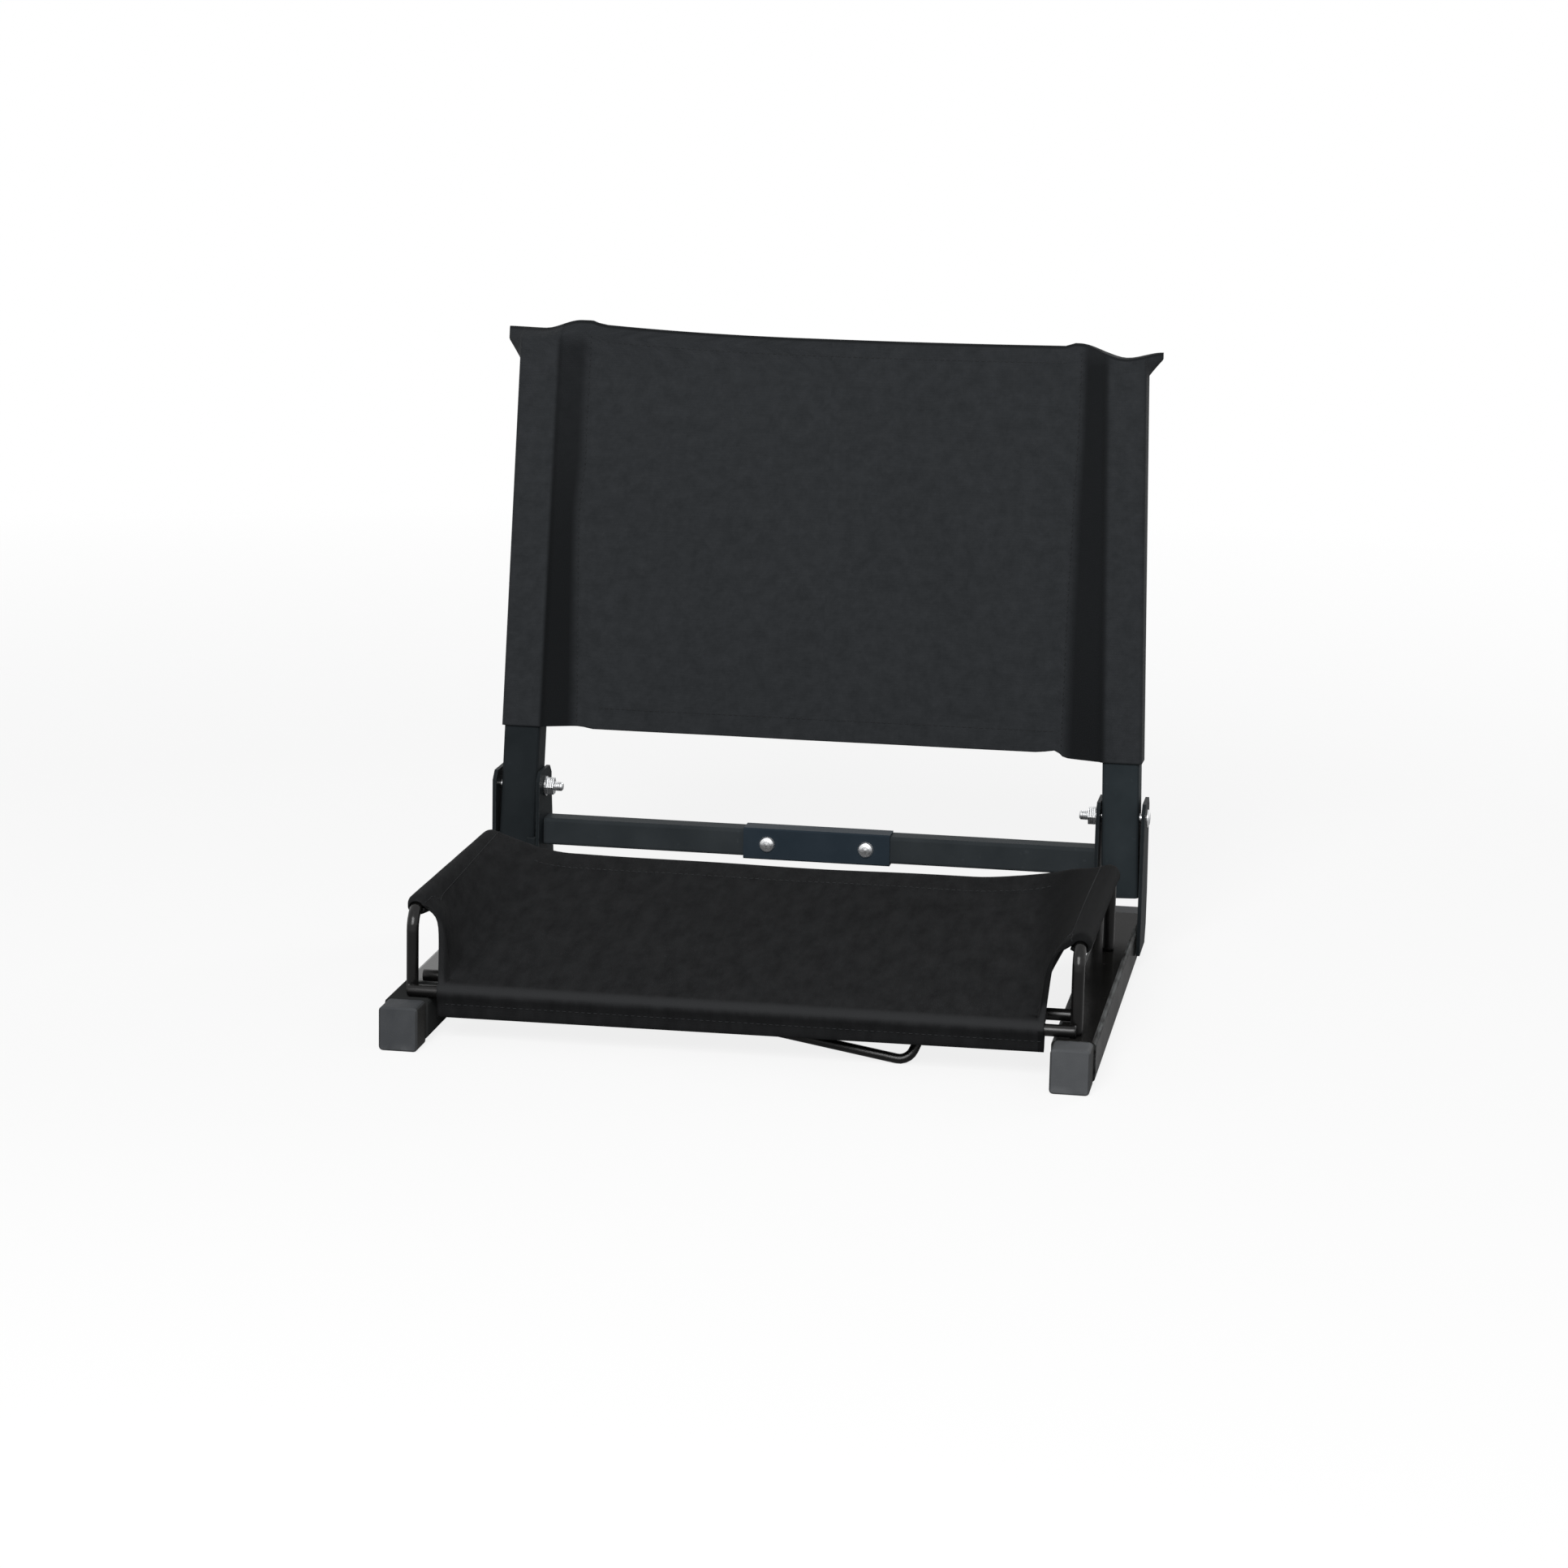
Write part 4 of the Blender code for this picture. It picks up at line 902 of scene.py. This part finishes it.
for k in range(1, NOSE_STEPS + 1):
    tight = k / NOSE_STEPS
    y = LAST_ROW + (ROD_TOP[0] - LAST_ROW) * NOSE_SHARE * tight
    row, edge = sleeve_row(on_bend(NOSE_START, -NOSE_TURN * tight), y, FOLD_FRONT, SAG_FRONT, tight)
    rows.append([Vector((x, PIVOT_Y + y, z)) for x, y, z in row])
MIDDLE = len(rows[0]) // 2

front = []
for k in range(1, FRONT_STEPS + 1):
    share = k / FRONT_STEPS
    y = LAST_ROW + (ROD_TOP[0] - LAST_ROW) * (NOSE_SHARE + (1 - NOSE_SHARE) * share)
    tucked = 1 - (1 - share) ** FREE_TUCK
    free = (edge[0] + (FREE_EDGE - edge[0]) * tucked + (HEM_HALF - FREE_EDGE) * share,
            edge[1] + (ROD_TOP[0] - edge[1]) * share,
            edge[2] + (ROD_TOP[1] - edge[2]) * share ** FREE_DROP)
    # Painted light on the last rows before the rod.
    painted_light = FRONT_PAINTED_LIGHT * ease((k - PAINTED_LIGHT_FROM) / PAINTED_LIGHT_OVER)
    front.append((seat_row(y, seat_level(y), FOLD_FRONT, free, SAG_FRONT * (1 - share)), painted_light))
for k, tone in enumerate(ROLL_TONES):
    y, z = on_rod(ROLL_START + (ROLL_END - ROLL_START) * (k + 1) / len(ROLL_TONES))
    front.append((seat_row(y, z, FOLD_FRONT, (HEM_HALF, y, z), 0.0), tone))
hem = [on_rod(ROLL_LEAD), on_rod(ROLL_END)]
hem += [(FRONT_ROD[0] + back, FRONT_ROD[1] + up) for back, up in HEM_DROP]
hem += [on_rod(math.radians(angle)) for angle in HEM_BEHIND]
hem += [(y, seat_level(y) - HEM_RETURN) for y in RETURN_AT]
for four in zip(hem, hem[1:], hem[2:], hem[3:]):
    for k in range(1, HEM_STEPS + 1):
        y, z = curve_through(*four, k / HEM_STEPS)
        slant = HEM_SLANT * ease((FRONT_ROD[1] - SLANT_FROM - z) / SLANT_OVER)
        row = seat_row(y, z, FOLD_FRONT, (HEM_HALF, y, z), 0.0)
        front.append(([(x, y, z + slant * x / HEM_HALF) for x, y, z in row], HEM_SHADE))

seat_weave = woven("seat_cloth_weave", dark=(0.0110, 0.0113, 0.0119), light=(0.0202, 0.0208, 0.0218),
                   shine=0.03, grain=1.90, drawn=0.45, sheen=0.012)
fold_shade = [0.0] * (FOLD_POINTS + 2 * FLAT_STEPS - 1)
fold_shade += [FOLD_SHADE * ease(k / FOLD_SHADE_OVER) for k in range(FOLD_POINTS)]
shades = [[0.0] * RING + fold_shade + [SLEEVE_SHADE] * RING for row in rows]
bm, grid, uv = sewn_sheet(rows, shades, middle=MIDDLE)
shade_layer = bm.verts.layers.float["in_shade"]
above = grid[-1][RING:-RING]
depth = sum((two[MIDDLE] - one[MIDDLE]).length for one, two in zip(rows, rows[1:]))
front_grid = [above]
for row, tone in front:
    below = [bm.verts.new((x, PIVOT_Y + y, z)) for x, y, z in row]
    for vert, folded in zip(below, fold_shade):
        vert[shade_layer] = tone if tone < 0 else max(tone, folded)
    step = (below[len(below) // 2].co - above[len(above) // 2].co).length
    for k in range(len(below) - 1):
        face = bm.faces.new((above[k], above[k + 1], below[k + 1], below[k]))
        face.smooth = True
        for loop, v in zip(face.loops, (depth, depth, depth + step, depth + step)):
            loop[uv].uv = (loop.vert.co.x, v)
    above = below
    depth += step
    front_grid.append(below)
grid = [[vert.co.copy() for vert in row] for row in grid]
front_grid = [[vert.co.copy() for vert in row] for row in front_grid]
seat_cloth = hang("seat_cloth", bm, seat_weave, thickness=SEAT_CLOTH, offset=0.0)
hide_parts("seat_sling")
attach(seat_cloth, "base")


# Stitching of the seat sling: one row beside each sleeve, one along the rear edge and one along the hem
# under the front rod. Same black thread as the back.
THREAD_LIFT = 0.00055      # from the sheet's middle to the thread
REAR_ROW = 8
HEM_ROW = FRONT_STEPS + len(ROLL_TONES) + HEM_STEPS
REAR_ENDS = RING + 9
HEM_ENDS = 2


def sheet_line(rows, cells, out):
    """A line of stitches along the cells of a sheet, on the side that faces out."""
    line = []
    for r, k in cells:
        down = rows[min(r + 1, len(rows) - 1)][k] - rows[max(r - 1, 0)][k]
        across = rows[r][min(k + 1, len(rows[r]) - 1)] - rows[r][max(k - 1, 0)]
        up = across.cross(down).normalized()
        up = up if up.dot(out) > 0 else -up
        line.append((rows[r][k] + up * THREAD_LIFT, up))
    return line


lines = []
upward = Vector((0.0, 0.0, 1.0))
forward = Vector((0.0, -1.0, 0.0))
for mirrored in (False, True):
    cells = []
    for r, row in enumerate(grid):
        reach = 0.0
        for k in range(RING, MIDDLE):
            reach += (row[k + 1] - row[k]).length
            if reach > SEAM_INSET:
                cells.append((r, len(row) - 1 - k if mirrored else k))
                break
    lines.append(sheet_line(grid, cells[1:], upward))
lines.append(sheet_line(grid, [(REAR_ROW, k) for k in range(REAR_ENDS, len(grid[0]) - REAR_ENDS)], upward))
hem_cells = [(HEM_ROW, k) for k in range(HEM_ENDS, len(front_grid[0]) - HEM_ENDS)]
lines.append(sheet_line(front_grid, hem_cells, forward))
seat_stitching = stitched("seat_stitching", lines, black_thread)
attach(seat_stitching, "base")


# Studio: a pale floor that keeps the chair's shadow, a white surround, a large soft lamp in front and
# two weaker ones at the right and behind. The camera stands where the photograph was taken from.
WHITE = (1.0, 1.0, 1.0, 1.0)
FLOOR_HALF = 4.0
FLOOR_DROP = 0.0002        # below the soles
SURROUND_LIGHT = 0.26
CAMERA_YAW = math.radians(9.227)
CAMERA_PITCH = math.radians(11.597)
CAMERA_ROLL = math.radians(1.225)
CAMERA_PLACE = (0.423706, PIVOT_Y - 2.760679, 0.687758)
FOCAL_PIXELS = 5052.84
IMAGE_PIXELS = 1932
SENSOR = 36.0              # millimetres

scene = bpy.context.scene
scene.view_settings.view_transform = "Standard"


def pale_floor():
    """White to the camera but for the shadows near the chair, and gone further out."""
    made = bpy.data.materials.new("pale_floor")
    made.use_nodes = True
    tree = made.node_tree
    tree.nodes.clear()
    start = Tone(tree)
    seen = start.node("ShaderNodeLightPath", out="Is Camera Ray")
    place = start.node("ShaderNodeTexCoord", out="Object")
    far = place.node("ShaderNodeVectorMath", {"operation": "LENGTH"}, {0: place}, "Value").within(0.9, 2.4)
    lit = start.node("ShaderNodeBsdfDiffuse", None, {"Color": 0.55 + 0.40 * seen})
    white = start.node("ShaderNodeEmission", None, {"Color": WHITE, "Strength": 1.0})
    clear = start.node("ShaderNodeBsdfTransparent")
    near = start.node("ShaderNodeMixShader", None, {0: 0.84 * seen, 1: lit, 2: white})
    whole = start.node("ShaderNodeMixShader", None, {0: far, 1: near, 2: clear})
    start.node("ShaderNodeOutputMaterial", None, {"Surface": whole})
    return made


corners = [(x * FLOOR_HALF, y * FLOOR_HALF, 0.0) for x, y in ((-1, -1), (1, -1), (1, 1), (-1, 1))]
mesh = bpy.data.meshes.new("floor")
mesh.from_pydata(corners, [], [(0, 1, 2, 3)])
mesh.materials.append(pale_floor())
floor = bpy.data.objects.new("floor", mesh)
floor.location = (0.0, 0.0, -FLOOR_DROP)
scene.collection.objects.link(floor)

world = bpy.data.worlds.new("white_surround")
world.use_nodes = True
world.node_tree.nodes.clear()
start = Tone(world.node_tree)
straight, glossy, through = (start.node("ShaderNodeLightPath", out=name)
                             for name in ("Is Camera Ray", "Is Glossy Ray", "Is Transmission Ray"))
shown = straight.maths("MAXIMUM", glossy).maths("MAXIMUM", through)
soft = start.node("ShaderNodeBackground", None, {"Color": WHITE, "Strength": SURROUND_LIGHT})
white = start.node("ShaderNodeBackground", None, {"Color": WHITE, "Strength": 1.0})
both = start.node("ShaderNodeMixShader", None, {0: shown, 1: soft, 2: white})
start.node("ShaderNodeOutputWorld", None, {"Surface": both})
scene.world = world


def soft_lamp(name, size, power, stand, aim):
    """A round soft lamp that stands at one place and is aimed at another."""
    lamp = bpy.data.lights.new(name, "AREA")
    lamp.shape = "DISK"
    lamp.size = size
    lamp.energy = power
    placed = bpy.data.objects.new(name, lamp)
    placed.location = stand
    placed.rotation_euler = (Vector(aim) - Vector(stand)).to_track_quat("-Z", "Y").to_euler()
    scene.collection.objects.link(placed)


soft_lamp("key", size=1.6, power=88.0, stand=(0.0, -2.75, 1.9), aim=(0.0, 0.1, 0.2))
soft_lamp("fill", size=1.4, power=1.5, stand=(2.3, -1.6, 1.5), aim=(0.0, 0.0, 0.2))
soft_lamp("rear", size=1.4, power=18.0, stand=(1.5, 2.4, 1.4), aim=(0.0, 0.1, 0.2))

ahead = Vector((-math.sin(CAMERA_YAW) * math.cos(CAMERA_PITCH),
                math.cos(CAMERA_YAW) * math.cos(CAMERA_PITCH), -math.sin(CAMERA_PITCH)))
level = Vector((math.cos(CAMERA_YAW), math.sin(CAMERA_YAW), 0.0))
drop = ahead.cross(level)
right = level * math.cos(CAMERA_ROLL) - drop * math.sin(CAMERA_ROLL)
below = level * math.sin(CAMERA_ROLL) + drop * math.cos(CAMERA_ROLL)
camera = bpy.data.objects.new("camera", bpy.data.cameras.new("camera"))
camera.data.sensor_width = SENSOR
camera.data.lens = SENSOR * FOCAL_PIXELS / IMAGE_PIXELS
camera.matrix_world = (Matrix.Translation(CAMERA_PLACE)
                       @ Matrix((right, -below, -ahead)).transposed().to_4x4())
scene.collection.objects.link(camera)
scene.camera = camera
